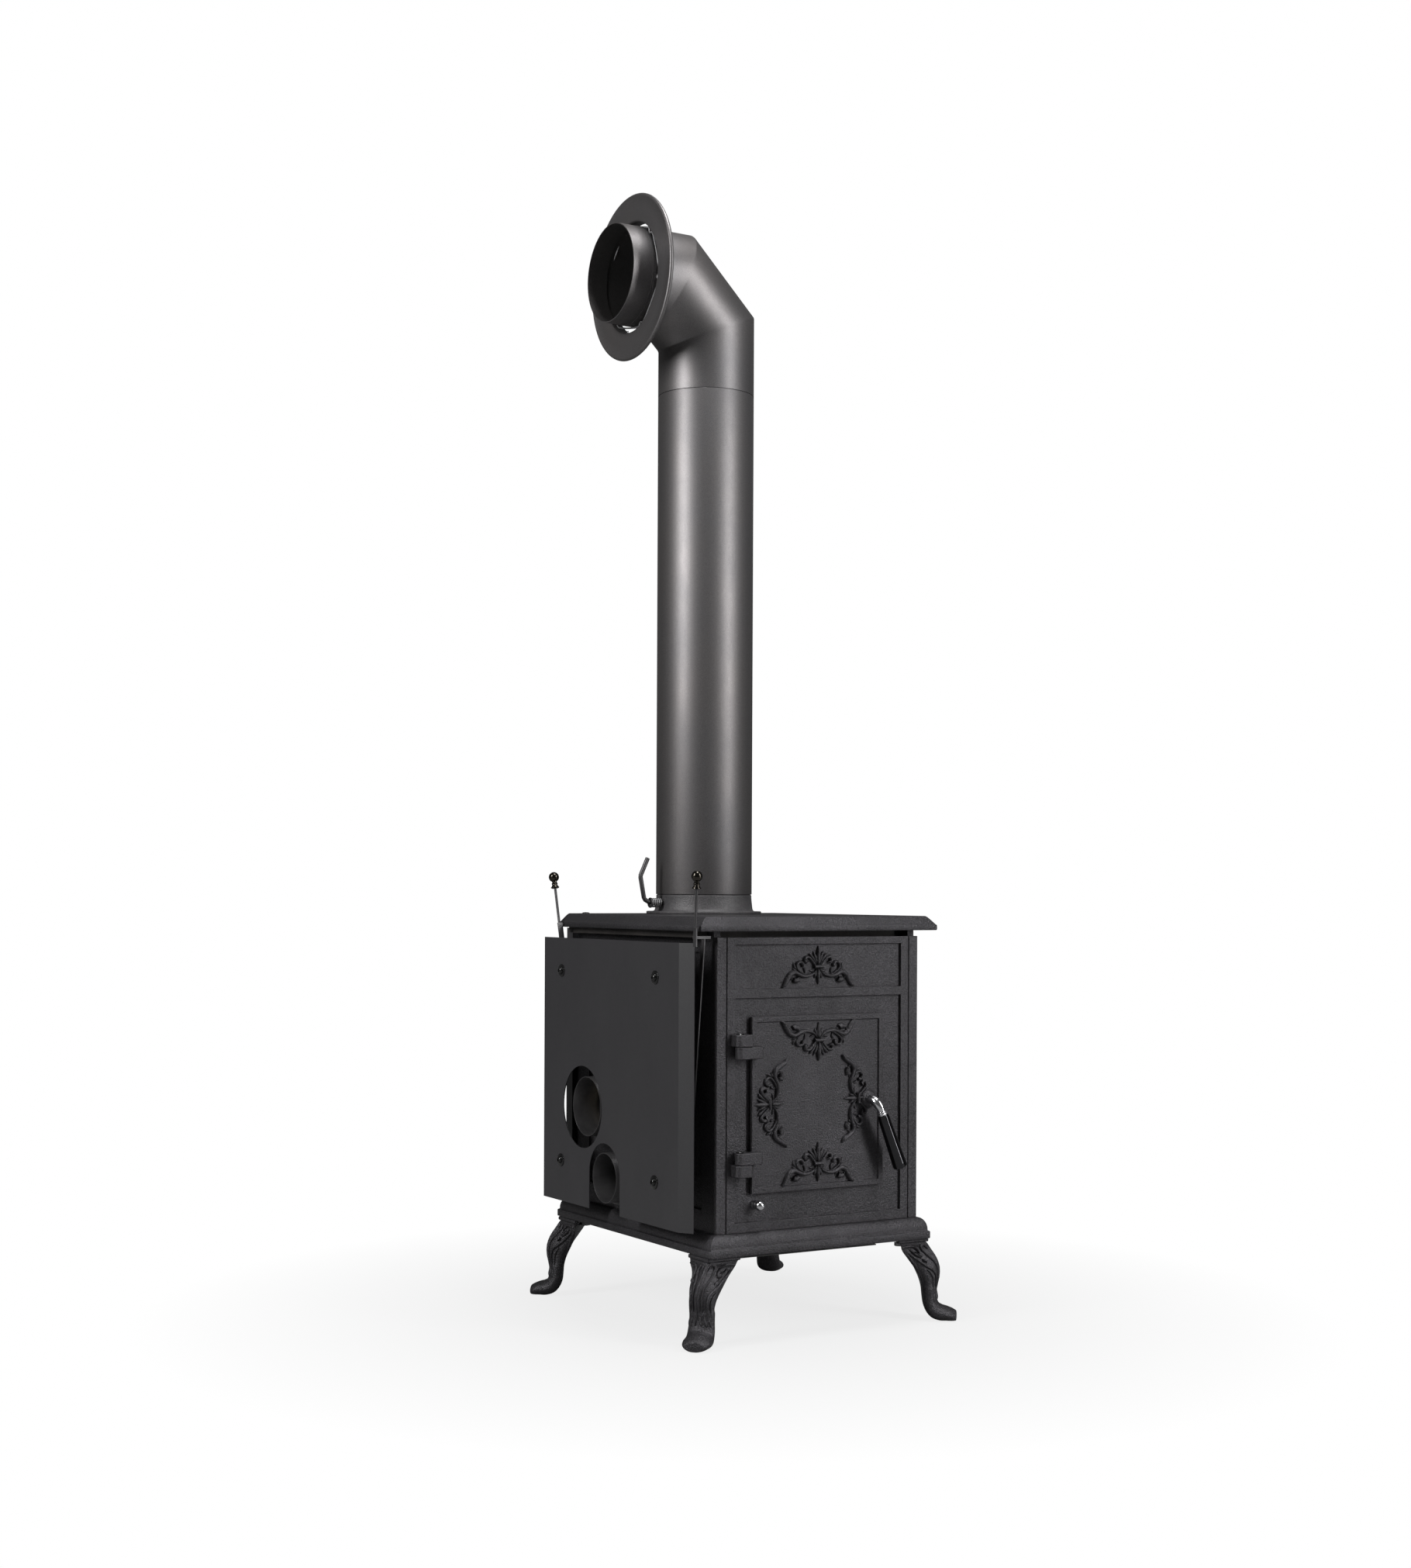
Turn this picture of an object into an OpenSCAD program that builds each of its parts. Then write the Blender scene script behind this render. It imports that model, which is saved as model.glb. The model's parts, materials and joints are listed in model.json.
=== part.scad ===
// Cast-iron box stove on cabriole legs, with a flue pipe, elbow and wall rosette, a sheet heat
// shield on its left side and two air ducts that come out through the shield.
// Millimetres, +Z up. The origin is on the floor, under the middle of the base plate.
// The door faces -Y, and the ducts and the shield are on the -X side.

/* [Base and legs] */
// Width of the base plate
base_w = 380; // [364:1:404]
// Depth of the base plate
base_d = 468; // [452:1:496]
// Height of the base plate's moulded edge
base_h = 31; // [28:1:40]
// Height of the legs
leg_h = 122; // [110:1:135]
// Wall of the base casting
base_wall = 8; // [6:0.5:10]
// Diameter of the leg bolts
leg_bolt_d = 8; // [6:1:10]

/* [Body] */
// How far the body's sides stand back from the base plate's edges
side_setback = 17; // [14:0.5:22]
// How far the body's back stands in front of the base plate's rear edge
back_setback = 36; // [32:1:48]
// Height of the body between base and top plate
body_h = 424; // [415:1:450]
// How far the body's front stands back from the base plate's edge
front_setback = 13; // [13:0.5:20]
// Wall of the body castings at a sunk panel
plate_wall = 8; // [7:0.5:9]
// How deep the panels are sunk below their borders
panel_sink = 4; // [2:0.5:5]
// Width of the border round a panel
panel_border = 30; // [26:1:34]

/* [Top plate] */
// Thickness of the top plate
top_t = 21; // [18:1:26]
// Overhang of the top plate at the sides
top_over_side = 32; // [24:1:34]
// Overhang of the top plate at the front
top_over_front = 7; // [5:1:12]
// Overhang of the top plate at the back
top_over_back = 4; // [2:0.5:6]

/* [Flue] */
// Outside diameter of the flue pipe
flue_od = 150; // [147:0.5:152]
// Wall of the flue pipe and elbow
flue_wall = 1.2; // [1:0.1:1.6]
// Distance from the flue's axis to the back of the body
flue_back = 92; // [90:1:100]
// Height of the flue collar above the top plate
collar_h = 30; // [26:1:40]
// Length of the straight pipe that shows
pipe_len = 778; // [300:1:1000]
// Length of each straight end of the elbow, along its axis
elbow_leg = 99; // [90:1:120]
// Sideways run of the elbow's middle segment
elbow_run = 72; // [60:1:80]
// Diameter of the wall rosette
rosette_od = 252; // [230:1:280]
// How far the rosette stands back from the open end of the elbow
rosette_back = 35; // [32:1:45]
// Thickness of the damper disc
damper_t = 3; // [2:0.5:4]

/* [Door] */
// Width of the door
door_w = 226; // [220:1:230]
// Height of the door
door_h = 250; // [230:1:256]
// How far the door's middle is left of the body's middle
door_left = 4; // [2:0.5:6]
// Height of the door's lower edge above the base plate
door_low = 53.5; // [50:0.5:57]
// Overlap of the door on the front plate, on every side
door_lap = 13; // [11:0.5:15]
// How far the door stands proud of the sunk panel
door_proud = 8; // [7:0.5:10]
// Diameter of the hinge pins
pin_d = 8; // [6:0.5:9]

/* [Handle] */
// Distance from the door's free edge to the handle spindle
spindle_in = 27; // [25:0.5:30]
// Diameter of the handle spindle
spindle_d = 10; // [8:0.5:11]
// Length of the handle's black grip
grip_len = 84; // [70:1:95]
// Largest diameter of the grip
grip_d = 21.8; // [18:0.2:23]
// Angle between the hanging grip and the vertical
grip_angle = 22.5; // [10:0.5:30]

/* [Shield and ducts] */
// Clear gap between the side panel and the heat shield
shield_gap = 49; // [46:0.5:52]
// Sheet thickness of the heat shields
sheet_t = 1.5; // [1:0.1:2]
// Height of the side shield
shield_h = 404; // [395:1:410]
// How far the side shield reaches behind the body
shield_over_back = 22; // [14:1:23]
// Outside diameter of the upper duct
upper_duct_od = 90; // [84:0.5:94]
// Outside diameter of the lower duct
lower_duct_od = 75; // [70:0.5:78]
// Diameter of the hole in the shield round the upper duct
shield_hole_d = 124; // [118:1:128]
// Width of the slot in the shield round the lower duct
shield_slot_w = 95; // [92:1:98]
// Travel of the upper gate
upper_travel = 50; // [40:1:54]
// Travel of the lower gate
lower_travel = 30; // [20:1:30]
// Diameter of the gate knobs
gate_knob_d = 16; // [14:0.5:18]

/* [Firebox] */
// Thickness of the firebricks
brick_t = 25; // [20:1:28]
// Height of the firebricks
brick_h = 205; // [180:1:220]
// Thickness of the hearth plate and the baffle
hearth_t = 8; // [6:0.5:10]

/* [Hidden] */
$fn = 64;
eps = 0.01;
big = 400;

// Clearances
run_fit = 0.06;      // a shaft that turns or slides in its bore
bolt_fit = 0.25;     // a bolt in its hole
seat = 0.02;         // a piece pressed or screwed into its seat
part_gap = 0.4;      // between a moving piece and a fixed one
slide_gap = 0.3;     // a gate blade in its pocket, each edge

// Heights
deck_z = leg_h + base_h;
top_z = deck_z + body_h;
roof_z = top_z + top_t;

// The body's faces
body_w = base_w - 2 * side_setback;
body_d = base_d - front_setback - back_setback;
front_y = -base_d / 2 + front_setback;
back_y = front_y + body_d;
side_x = body_w / 2;
panel_y = front_y + panel_sink;
front_in = panel_y + plate_wall - 2;
side_sink = panel_sink - 1;
wall_x = side_x - side_sink;          // outside of a side panel
in_x = wall_x - plate_wall;           // inside of a side plate
back_in = back_y - plate_wall;
front_lap = front_in - front_y;

// Flue
flue_r = flue_od / 2;
flue_y = back_y - flue_back;
collar_wall = 8;
collar_in = flue_r - flue_wall - collar_wall;
spigot_r = flue_r - flue_wall - 0.5;
pipe_z = roof_z + collar_h;
elbow_z = pipe_z + pipe_len;
bend1_z = elbow_z + elbow_leg;
stub_z = bend1_z + elbow_run;
stub_x = -elbow_run - elbow_leg;
spindle_z = roof_z + collar_h * 0.57;
damper_spindle_r = 4;
collar_flange_r = flue_r + 15;

// Door
door_x = -door_left;
door_z = deck_z + door_low + door_h / 2;
door_front = panel_y - door_proud;
door_back = panel_y - 0.5;
door_rim = 8;
door_dish = 2.5;
hole_w = door_w - 2 * door_lap;
hole_h = door_h - 2 * door_lap;
plug_gap = 2.5;
liner_front = front_in + 3;
liner_t = 3;
liner_back = liner_front + liner_t;
seal_w = 6;
seal_in = 3;

// Hinges: the fixed lugs are outside the door's knuckles, above and below
knuckle_r = 9;
knuckle_h = 17;
corner_r = 7;
hinge_x = door_x - door_w / 2 - 24;
hinge_y = front_y - knuckle_r - 1;
hinge_span = 166;                    // between the outer ends of the two hinges, less two lugs
hinge_mid = door_z + 1.5;
pin_r = pin_d / 2;

// Handle and latch
spindle_x = door_x + door_w / 2 - spindle_in;
spindle_r = spindle_d / 2;
boss_len = 7;
boss_front = door_front + door_dish - boss_len;
elbow_y = boss_front - 20;
arm_len = 19;
cam_t = 5;
cam_len = 34;
cam_front = liner_back + 1;
cam_back = cam_front + cam_t;
nut_t = 6;
nut_r = 8;

// Air control
air_x = -side_x + 65;
air_z = deck_z + 38;
air_r = 3;
air_travel = 25;
slide_y = front_in + air_travel + 4;

// Shield and ducts
shield_x = -wall_x - shield_gap;                   // inner face of the shield
shield_front = front_y + 25;
shield_d = back_y + shield_over_back - shield_front;
shield_low = deck_z + 4;
shield_bend = 21;                                  // depth of the bent front strip
shield_bend_angle = 31;
screw_spread = 291;
screw_y = shield_front + shield_d / 2 + 4;
screw_z = shield_low + shield_h / 2 + 6;
upper_y = back_y - 112;
upper_z = deck_z + 155;
lower_y = back_y - 169;
lower_z = deck_z + 53.5;
duct_wall = 1.5;
duct_short = 3;                                    // the ducts end this far inside the shield
frame_t = 7;
pocket_t = 2.6;
blade_t = 2;
frame_x = -wall_x - frame_t;
pocket_mid = -wall_x - pocket_t / 2;
upper_frame_w = 104;
upper_frame_low = upper_z - 52;
upper_frame_h = 134;
lower_frame_w = 92;
lower_frame_low = lower_z - 46.5;
lower_frame_h = 94;
throat_w = 70;
upper_throat_h = 44;
lower_throat_w = 58;
lower_throat_h = 26;
lap = 4;                                           // the blade's lap over its throat
rod_r = 2;
rod_x = shield_x + 7;
bar_w = 8;
upper_bar_y = flue_y + 73;
rod_low = top_z - 21;
knob_z = roof_z + 56;

// Firebox
ledge = 12;
hearth_z = deck_z + 54;
floor_z = hearth_z + hearth_t;
brick_back = back_in - brick_t - 5;
baffle_z = floor_z + brick_h + 35;
tie_r = 3.5;
tie_x = in_x - 8;
tie_ys = [front_in + 26, back_in - 14];

// ---------------------------------------------------------------- helpers

// A straight round rod from p to q
module rod(p, q, r) {
    v = q - p;
    len = norm(v);
    translate(p)
        rotate([0, acos(v[2] / len), atan2(v[1], v[0])])
            cylinder(h = len, r = r);
}

// A cylinder along +X, from x0 to x1
module x_cyl(x0, x1, y, z, r) {
    translate([x0, y, z]) rotate([0, 90, 0]) cylinder(h = x1 - x0, r = r);
}

// A cylinder along +Y, from y0 to y1
module y_cyl(x, y0, y1, z, r) {
    translate([x, y0, z]) rotate([-90, 0, 0]) cylinder(h = y1 - y0, r = r);
}

// A block from corner a to corner b
module block(a, b) {
    translate(a) cube(b - a);
}

// A hexagon head or nut, its axis along +Z
module hex(r, h) {
    cylinder(h = h, r = r, $fn = 6);
}

// A slab with a moulded edge: the edge's outline runs on all four sides and meets in mitres.
// At the front and the back its insets are scaled by the shares given.
module moulded_slab(half_w, y0, y1, edge, front_share = 1, back_share = 1) {
    right = [for (p = edge) [half_w - p[0], p[1]]];
    left = [for (i = [len(edge) - 1:-1:0]) [-half_w + edge[i][0], edge[i][1]]];
    back = [for (p = edge) [y1 - p[0] * back_share, p[1]]];
    front = [for (i = [len(edge) - 1:-1:0]) [y0 + edge[i][0] * front_share, edge[i][1]]];
    intersection() {
        translate([0, y1 + 1, 0]) rotate([90, 0, 0])
            linear_extrude(height = y1 - y0 + 2) polygon(concat(right, left));
        translate([-half_w - 1, 0, 0]) rotate([90, 0, 90])
            linear_extrude(height = 2 * half_w + 2) polygon(concat(back, front));
    }
}

// One leaf of an ornament, its foot at the origin and its tip at +Y
module leaf(length, width) {
    steps = 6;
    right = [for (i = [0:steps]) [width / 2 * sin(180 * i / steps), length * i / steps]];
    left = [for (i = [steps - 1:-1:1]) [-width / 2 * sin(180 * i / steps), length * i / steps]];
    polygon(concat(right, left));
}

// A traditional palmette between two scrolls, its foot on the X axis
module palmette() {
    heart = 22;
    for (a = [-72:24:72])
        translate([0, heart]) rotate(a) leaf(36 - abs(a) / 6, 9);
    translate([-7, heart - 5]) square([14, 6]);
    rotate(180) translate([0, -heart]) leaf(21, 9);
    for (s = [-1, 1]) {
        translate([s * 19, 18]) difference() {
            circle(r = 13, $fn = 32);
            circle(r = 7.5, $fn = 32);
        }
        translate([s * 35, 9]) circle(r = 7, $fn = 32);
        translate([s * 36, 24]) circle(r = 5.5, $fn = 32);
        translate([s * 24, 15]) rotate(-s * 111) leaf(41, 9);
    }
}

// The palmette as a relief on a face that looks to -Y
module relief(x, y, z, turn, depth) {
    translate([x, y, z]) rotate([90, 0, 0]) rotate(turn)
        linear_extrude(height = depth) palmette();
}

// ---------------------------------------------------------------- base and legs

// Outline of the base's edge: a plain lip, a small step and an ogee up to the deck
module base_plate() {
    lip = base_h * 0.38;
    roll = 13;
    end_share = 0.75;                // the moulding is narrower at the front and the back
    rise = base_h - lip - 1;
    ogee = [for (a = [0:18:90]) [3 + roll * (1 - cos(a)), leg_h + lip + 1 + rise * sin(a)]];
    edge = concat([[0, leg_h], [0, leg_h + lip], [3, leg_h + lip + 1]], ogee);
    corner = 60;
    color([0.24, 0.23, 0.24]) difference() {
        moulded_slab(base_w / 2, -base_d / 2, base_d / 2, edge, end_share, end_share);
        difference() {
            block([-base_w / 2 + 16, -base_d / 2 + 16, leg_h - 1],
                  [base_w / 2 - 16, base_d / 2 - 16, deck_z - base_wall]);
            for (sx = [-1, 1], sy = [-1, 1])
                translate([sx * base_w / 2, sy * base_d / 2, leg_h - 2])
                    rotate([0, 0, atan2(sy, sx)])
                        translate([-corner, -corner, 0]) cube([2 * corner, 2 * corner, base_h]);
        }
        each_leg() translate([-leg_lug, 0, leg_h - 1])
            cylinder(h = base_h - 5, r = leg_bolt_d / 2 + bolt_fit);
        for (x = [-1, 1], y = tie_ys)
            translate([x * tie_x, y, leg_h]) cylinder(h = base_h + 1, r = tie_r + bolt_fit);
        for (x = [-1, 1], y = tie_ys)
            translate([x * tie_x, y, leg_h - 1]) cylinder(h = deck_z - base_wall - leg_h + 1, r = 8.5);
        for (p = under_bolts)
            translate([p[0], p[1], leg_h]) cylinder(h = base_h + 1, r = 3 + bolt_fit);
        block([air_x - 10, slide_y + 52, deck_z - base_wall - 1],
              [air_x + 10, slide_y + 76, deck_z + 1]);
    }
}

leg_lug = 47;          // from the base's corner to the leg bolt, along the diagonal

// Places its children at the base's four corners, +X pointing outwards on the diagonal and +Y
// towards the corner's left or right side
module each_leg() {
    for (sx = [-1, 1], sy = [-1, 1])
        leg_place(sx, sy) children();
}

module leg_place(sx, sy) {
    translate([sx * base_w / 2, sy * base_d / 2, 0]) rotate([0, 0, atan2(sy, sx)])
        scale([1, -sx * sy, 1]) children();
}

// The leg is lofted along its S curve. Each station gives the section's middle, outwards and up,
// its tilt, its half thickness and half width, how far it is a sharp corner (1) or oval (0), its
// turn about the upright, and its shift towards the side, since the legs splay most sideways.
// Heights are given for a leg of 122 and stretch with leg_h above the foot.
function leg_up(z) = z < 24 ? z : 24 + (z - 24) * (leg_h - 24) / 98;
leg_stations = [
    [-24, 122, 0, 19, 40, 0.92, 0, 5], [-24, 117, 0, 19, 40, 0.92, 0, 5],
    [-24, 116, 0, 16.5, 37, 0.92, 0, 5], [-21, 105, 0, 19.5, 34.5, 0.9, 3, 8],
    [-14, 92, 0, 21, 31, 0.7, 8, 9.5], [-8, 78, 0, 19.5, 27.5, 0.5, 14, 11.5],
    [-4.5, 64, 0, 16, 24.5, 0.35, 18, 12.5], [-4, 50, 0, 12.5, 22, 0.2, 18, 13],
    [-4, 37, 5, 11, 21, 0.14, 16, 13], [-2, 25, 25, 11.5, 21.3, 0.12, 12, 13],
    [4, 15.5, 58, 12, 21.5, 0.1, 8, 12.8], [13, 11.5, 80, 11.6, 22, 0.1, 6, 12.5],
    [23, 10.3, 90, 10.5, 22, 0.1, 6, 13.5], [31, 8.8, 90, 9, 20, 0.1, 6, 14.3],
    [36, 7.6, 90, 7.6, 14.6, 0.1, 6, 14.8], [38, 7.2, 90, 3, 6, 0.1, 6, 15]];
leg_side = 7;          // points down each side of a section

function leg_width(u, half, sharp) = (1 - sharp) * sqrt(max(0, 1 - u * u)) + sharp * (1 - u) / 2;
function leg_point(s, i, side) =
    let (u = cos(180 * i / leg_side), w = side * s[4] * leg_width(u, s[4], s[5]), d = s[3] * u * cos(s[2]))
    [s[0] + d * cos(s[6]) - w * sin(s[6]), s[7] + d * sin(s[6]) + w * cos(s[6]),
     max(0, leg_up(s[1]) + s[3] * u * sin(s[2]))];
function leg_ring(s) = concat([for (i = [0:leg_side]) leg_point(s, i, 1)],
                              [for (i = [leg_side:-1:1]) leg_point(s, i, -1)]);

module leg() {
    ring = 2 * leg_side + 1;
    n = len(leg_stations);
    points = [for (s = leg_stations) each leg_ring(s)];
    sides = [for (k = [0:n - 2], i = [0:ring - 1])
        let (j = (i + 1) % ring, a = k * ring, b = a + ring)
        each [[a + i, b + j, b + i], [a + i, a + j, b + j]]];
    top = [[for (i = [ring - 1:-1:0]) i]];
    toe = [[for (i = [0:ring - 1]) (n - 1) * ring + i]];
    color([0.24, 0.23, 0.24]) difference() {
        union() {
            polyhedron(points = points, faces = concat(sides, top, toe));
            block([-leg_lug - 13, -14, leg_h - 8], [-24, 14, leg_h]);
        }
        translate([-leg_lug, 0, leg_h - 10]) cylinder(h = 12, r = leg_bolt_d / 2 + bolt_fit);
    }
}

module front_left_leg() { leg_place(-1, -1) leg(); }
module front_right_leg() { leg_place(1, -1) leg(); }
module rear_left_leg() { leg_place(-1, 1) leg(); }
module rear_right_leg() { leg_place(1, 1) leg(); }

module leg_bolts() {
    color("dimgray") each_leg() translate([-leg_lug, 0, 0]) {
        translate([0, 0, leg_h - 13]) hex(7.5, 5);
        translate([0, 0, leg_h - 8]) cylinder(h = 8 + base_h - 7, r = leg_bolt_d / 2);
    }
}

// Sheet under the base that keeps the floor cool
under_gap = 3.5;
under_bolts = [for (x = [-115, 75], y = [-150, 150]) [x, y]];

module under_plate() {
    color([0.1, 0.1, 0.1]) difference() {
        block([-base_w / 2 + leg_lug + 7, -base_d / 2 + 15, leg_h - under_gap - 1.5],
              [base_w / 2 - 88, base_d / 2 - 40, leg_h - under_gap]);
        for (p = under_bolts)
            translate([p[0], p[1], leg_h - 10]) cylinder(h = 10, r = 3 + bolt_fit);
    }
}

module under_plate_bolts() {
    color("dimgray") for (p = under_bolts) translate([p[0], p[1], 0]) {
        translate([0, 0, leg_h - under_gap - 1.5 - 4]) hex(5.5, 4);
        translate([0, 0, leg_h - under_gap - 1.5 - eps])
            cylinder(h = under_gap + 1.5 + base_h - 2, r = 3);
        translate([0, 0, leg_h - under_gap]) difference() {
            cylinder(h = under_gap + base_h - base_wall, r = 6);
            translate([0, 0, -1]) cylinder(h = base_h + 5, r = 3 - eps);
        }
    }
}

// ---------------------------------------------------------------- body castings

module side_plate(s) {
    y0 = front_in;
    y1 = back_in;
    color([0.24, 0.23, 0.24]) difference() {
        union() {
            block([s > 0 ? in_x : -side_x, y0, deck_z], [s > 0 ? side_x : -in_x, y1, top_z]);
            block([s > 0 ? in_x - ledge : -in_x, y0 + 45, hearth_z - 8],
                  [s > 0 ? in_x : -in_x + ledge, y1 - 26, hearth_z]);
            block([s > 0 ? in_x - ledge : -in_x, y0 + 150, baffle_z - 8],
                  [s > 0 ? in_x : -in_x + ledge, y1 - 26, baffle_z]);
        }
        block([s > 0 ? wall_x : -side_x - 1, y0 + panel_border, deck_z + panel_border],
              [s > 0 ? side_x + 1 : -wall_x, y1 - panel_border, top_z - panel_border]);
        translate([s * (in_x + 5.5), top_screw_y, top_z - 14])
            cylinder(h = 15, r = top_screw_r + bolt_fit);
        if (s < 0) {
            for (p = shield_points)
                x_cyl(-side_x - 1, -in_x + 1, p[0], p[1], shield_screw_r + bolt_fit);
            for (p = shield_points) x_cyl(-side_x - 1, -wall_x, p[0], p[1], spacer_r + 1);
            block([-side_x - 1, upper_y - throat_w / 2, upper_z - upper_throat_h / 2],
                  [-in_x + 1, upper_y + throat_w / 2, upper_z + upper_throat_h / 2]);
            block([-side_x - 1, lower_y - lower_throat_w / 2, lower_z - lower_throat_h / 2],
                  [-in_x + 1, lower_y + lower_throat_w / 2, lower_z + lower_throat_h / 2]);
            block([-side_x - 1, lower_y - lower_frame_w / 2, lower_frame_low],
                  [-wall_x, lower_y + lower_frame_w / 2, deck_z + panel_border + 1]);
        }
    }
}

module left_side_plate() { side_plate(-1); }
module right_side_plate() { side_plate(1); }

module back_plate() {
    color([0.24, 0.23, 0.24]) difference() {
        block([-side_x, back_in, deck_z], [side_x, back_y, top_z]);
        for (p = rear_points)
            y_cyl(p[0], back_in - 1, back_y + 1, p[1], rear_screw_r + bolt_fit);
    }
}

// One casting of a hinge from x0 to x1, its lower end at z, rounded at its front left corner
module hinge_block(x0, x1, z, back) {
    y0 = hinge_y - knuckle_r;
    translate([x0 + corner_r, y0 + corner_r, z]) cylinder(h = knuckle_h, r = corner_r);
    block([x0, y0 + corner_r, z], [x1, back, z + knuckle_h]);
    block([x0 + corner_r, y0, z], [x1 - 2, y0 + corner_r + 1, z + knuckle_h]);
    block([x1 - 3, y0 + 2, z], [x1, y0 + corner_r + 1, z + knuckle_h]);
    translate([x1 - 2, y0 + 2, z]) cylinder(h = knuckle_h, r = 2);
}

// Hinge lug of the front plate
module fixed_lug(z) {
    difference() {
        hinge_block(hinge_x - 8.5, hinge_x + 17, z, front_y + 1 + panel_sink);
        translate([hinge_x, hinge_y, z - 1]) cylinder(h = knuckle_h + 2, r = pin_r + seat);
    }
}

upper_lug_z = hinge_mid + hinge_span / 2;
lower_lug_z = hinge_mid - hinge_span / 2 - knuckle_h;

module front_plate() {
    panel_half = side_x - panel_border;
    rail_z = door_z + door_h / 2 + 26;
    rail_h = 12.5;
    groove_x = side_x - 16;
    color([0.24, 0.23, 0.24]) difference() {
        union() {
            difference() {
                block([-side_x, front_y, deck_z], [side_x, front_in, top_z]);
                block([-panel_half, front_y - 1, deck_z + 14], [panel_half, panel_y, rail_z]);
                block([-panel_half, front_y - 1, rail_z + rail_h], [panel_half, panel_y, top_z - 19]);
                for (s = [-1, 1])
                    block([s * groove_x - 0.75, front_y - 1, deck_z - 1],
                          [s * groove_x + 0.75, front_y + 1.5, top_z + 1]);
            }
            fixed_lug(upper_lug_z);
            fixed_lug(lower_lug_z);
            relief(0, panel_y + 1, rail_z + rail_h + 1, 0, 5);
            // Keeper that the latch cam turns behind
            block([door_x + hole_w / 2 + 3, front_in - 1, door_z - 14],
                  [door_x + hole_w / 2 + 28, cam_front - part_gap, door_z + 18]);
        }
        block([door_x - hole_w / 2, front_y - 1, door_z - hole_h / 2],
              [door_x + hole_w / 2, front_in + 20, door_z + hole_h / 2]);
        y_cyl(air_x, front_y - 1, front_in + 1, air_z, air_r + run_fit);
    }
}

top_screw_r = 2.5;
top_screw_y = back_in - 6;

// Outline of the top plate's edge: a rounded lip, then a cove up to the flat
module top_plate() {
    lip = 8;
    edge = concat(
        [[1.5, top_z], [0, top_z + 2], [0, top_z + lip - 3], [1.5, top_z + lip], [4, top_z + lip + 1]],
        [for (a = [18:18:90])
            [4 + 11 * sin(a), top_z + lip + 1 + (top_t - lip - 1) * (1 - cos(a))]]);
    half_w = side_x + top_over_side;
    color([0.24, 0.23, 0.24]) difference() {
        moulded_slab(half_w, front_y - top_over_front, back_y + top_over_back, edge, 0.6, 0.2);
        translate([0, flue_y, top_z - 1]) cylinder(h = top_t + 2, r = collar_in + 1);
        for (s = [-1, 1])
            translate([s * (in_x + 5.5), top_screw_y, top_z - 1])
                cylinder(h = top_t + 2, r = top_screw_r + bolt_fit);
        for (x = [-1, 1], y = tie_ys)
            translate([x * tie_x, y, top_z - 1]) cylinder(h = 13, r = tie_r + seat);
        for (p = collar_bolts)
            translate([p[0], p[1], roof_z - 12]) cylinder(h = 13, r = 3 + seat);
    }
}

module top_plate_screws() {
    head_r = 6;
    head_h = 1.8;
    ball = (head_r * head_r + head_h * head_h) / (2 * head_h);
    color([0.2, 0.2, 0.2]) for (s = [-1, 1]) translate([s * (in_x + 5.5), top_screw_y, 0]) {
        translate([0, 0, top_z - 12]) cylinder(h = top_t + 12, r = top_screw_r);
        if (s < 0)
            translate([0, 0, roof_z]) intersection() {
                translate([0, 0, head_h - ball]) sphere(r = ball);
                cylinder(h = head_h + 1, r = head_r + 1);
            }
    }
}

// Rods that clamp the castings between base and top
module tie_rods() {
    color("dimgray") for (x = [-1, 1], y = tie_ys) translate([x * tie_x, y, 0]) {
        translate([0, 0, deck_z - base_wall - 6]) cylinder(h = body_h + base_wall + 17, r = tie_r);
        translate([0, 0, deck_z - base_wall - 5.5]) difference() {
            hex(7.5, 5.5);
            translate([0, 0, -1]) cylinder(h = 8, r = tie_r + seat);
        }
    }
}

// ---------------------------------------------------------------- flue

// Countersunk screws, flush with the collar's flange
sink_h = 3;
sink_r = 4.8;
collar_bolts = [for (a = [30, 150, 270]) [(flue_r + 7.5) * cos(a), flue_y + (flue_r + 7.5) * sin(a)]];

module flue_collar() {
    foot_t = 4;
    foot_r = flue_r + 1.5;
    neck_r = flue_r - 0.6;
    color([0.26, 0.25, 0.25]) difference() {
        translate([0, flue_y, roof_z]) union() {
            cylinder(h = foot_t, r = collar_flange_r);
            cylinder(h = collar_h, r1 = foot_r, r2 = neck_r);
            cylinder(h = collar_h + 35, r = spigot_r);
        }
        translate([0, flue_y, roof_z - 1]) cylinder(h = collar_h + 40, r = collar_in);
        x_cyl(-big, big, flue_y, spindle_z, damper_spindle_r + run_fit);
        for (p = collar_bolts)
            translate([p[0], p[1], roof_z - 1]) cylinder(h = foot_t + 2, r = 3 + bolt_fit);
        for (p = collar_bolts)
            translate([p[0], p[1], roof_z + foot_t - sink_h])
                cylinder(h = sink_h + 1, r1 = 3 + bolt_fit, r2 = sink_r + bolt_fit + 0.8);
    }
}

module flue_collar_bolts() {
    foot_t = 4;
    color("dimgray") for (p = collar_bolts) translate([p[0], p[1], roof_z]) {
        translate([0, 0, -11]) cylinder(h = 11 + foot_t - sink_h + eps, r = 3);
        translate([0, 0, foot_t - sink_h]) cylinder(h = sink_h, r1 = 3, r2 = sink_r);
    }
}

module flue_pipe() {
    color([0.3, 0.3, 0.3]) translate([0, flue_y, pipe_z]) difference() {
        cylinder(h = pipe_len, r = flue_r);
        translate([0, 0, -1]) cylinder(h = pipe_len + 2, r = flue_r - flue_wall);
    }
}

// Everything below a plane through p whose normal leans by a towards -X
module under_plane(p, a) {
    translate(p) rotate([0, -a, 0]) translate([-big, -big, -2 * big]) cube([2 * big, 2 * big, 2 * big]);
}

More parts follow.
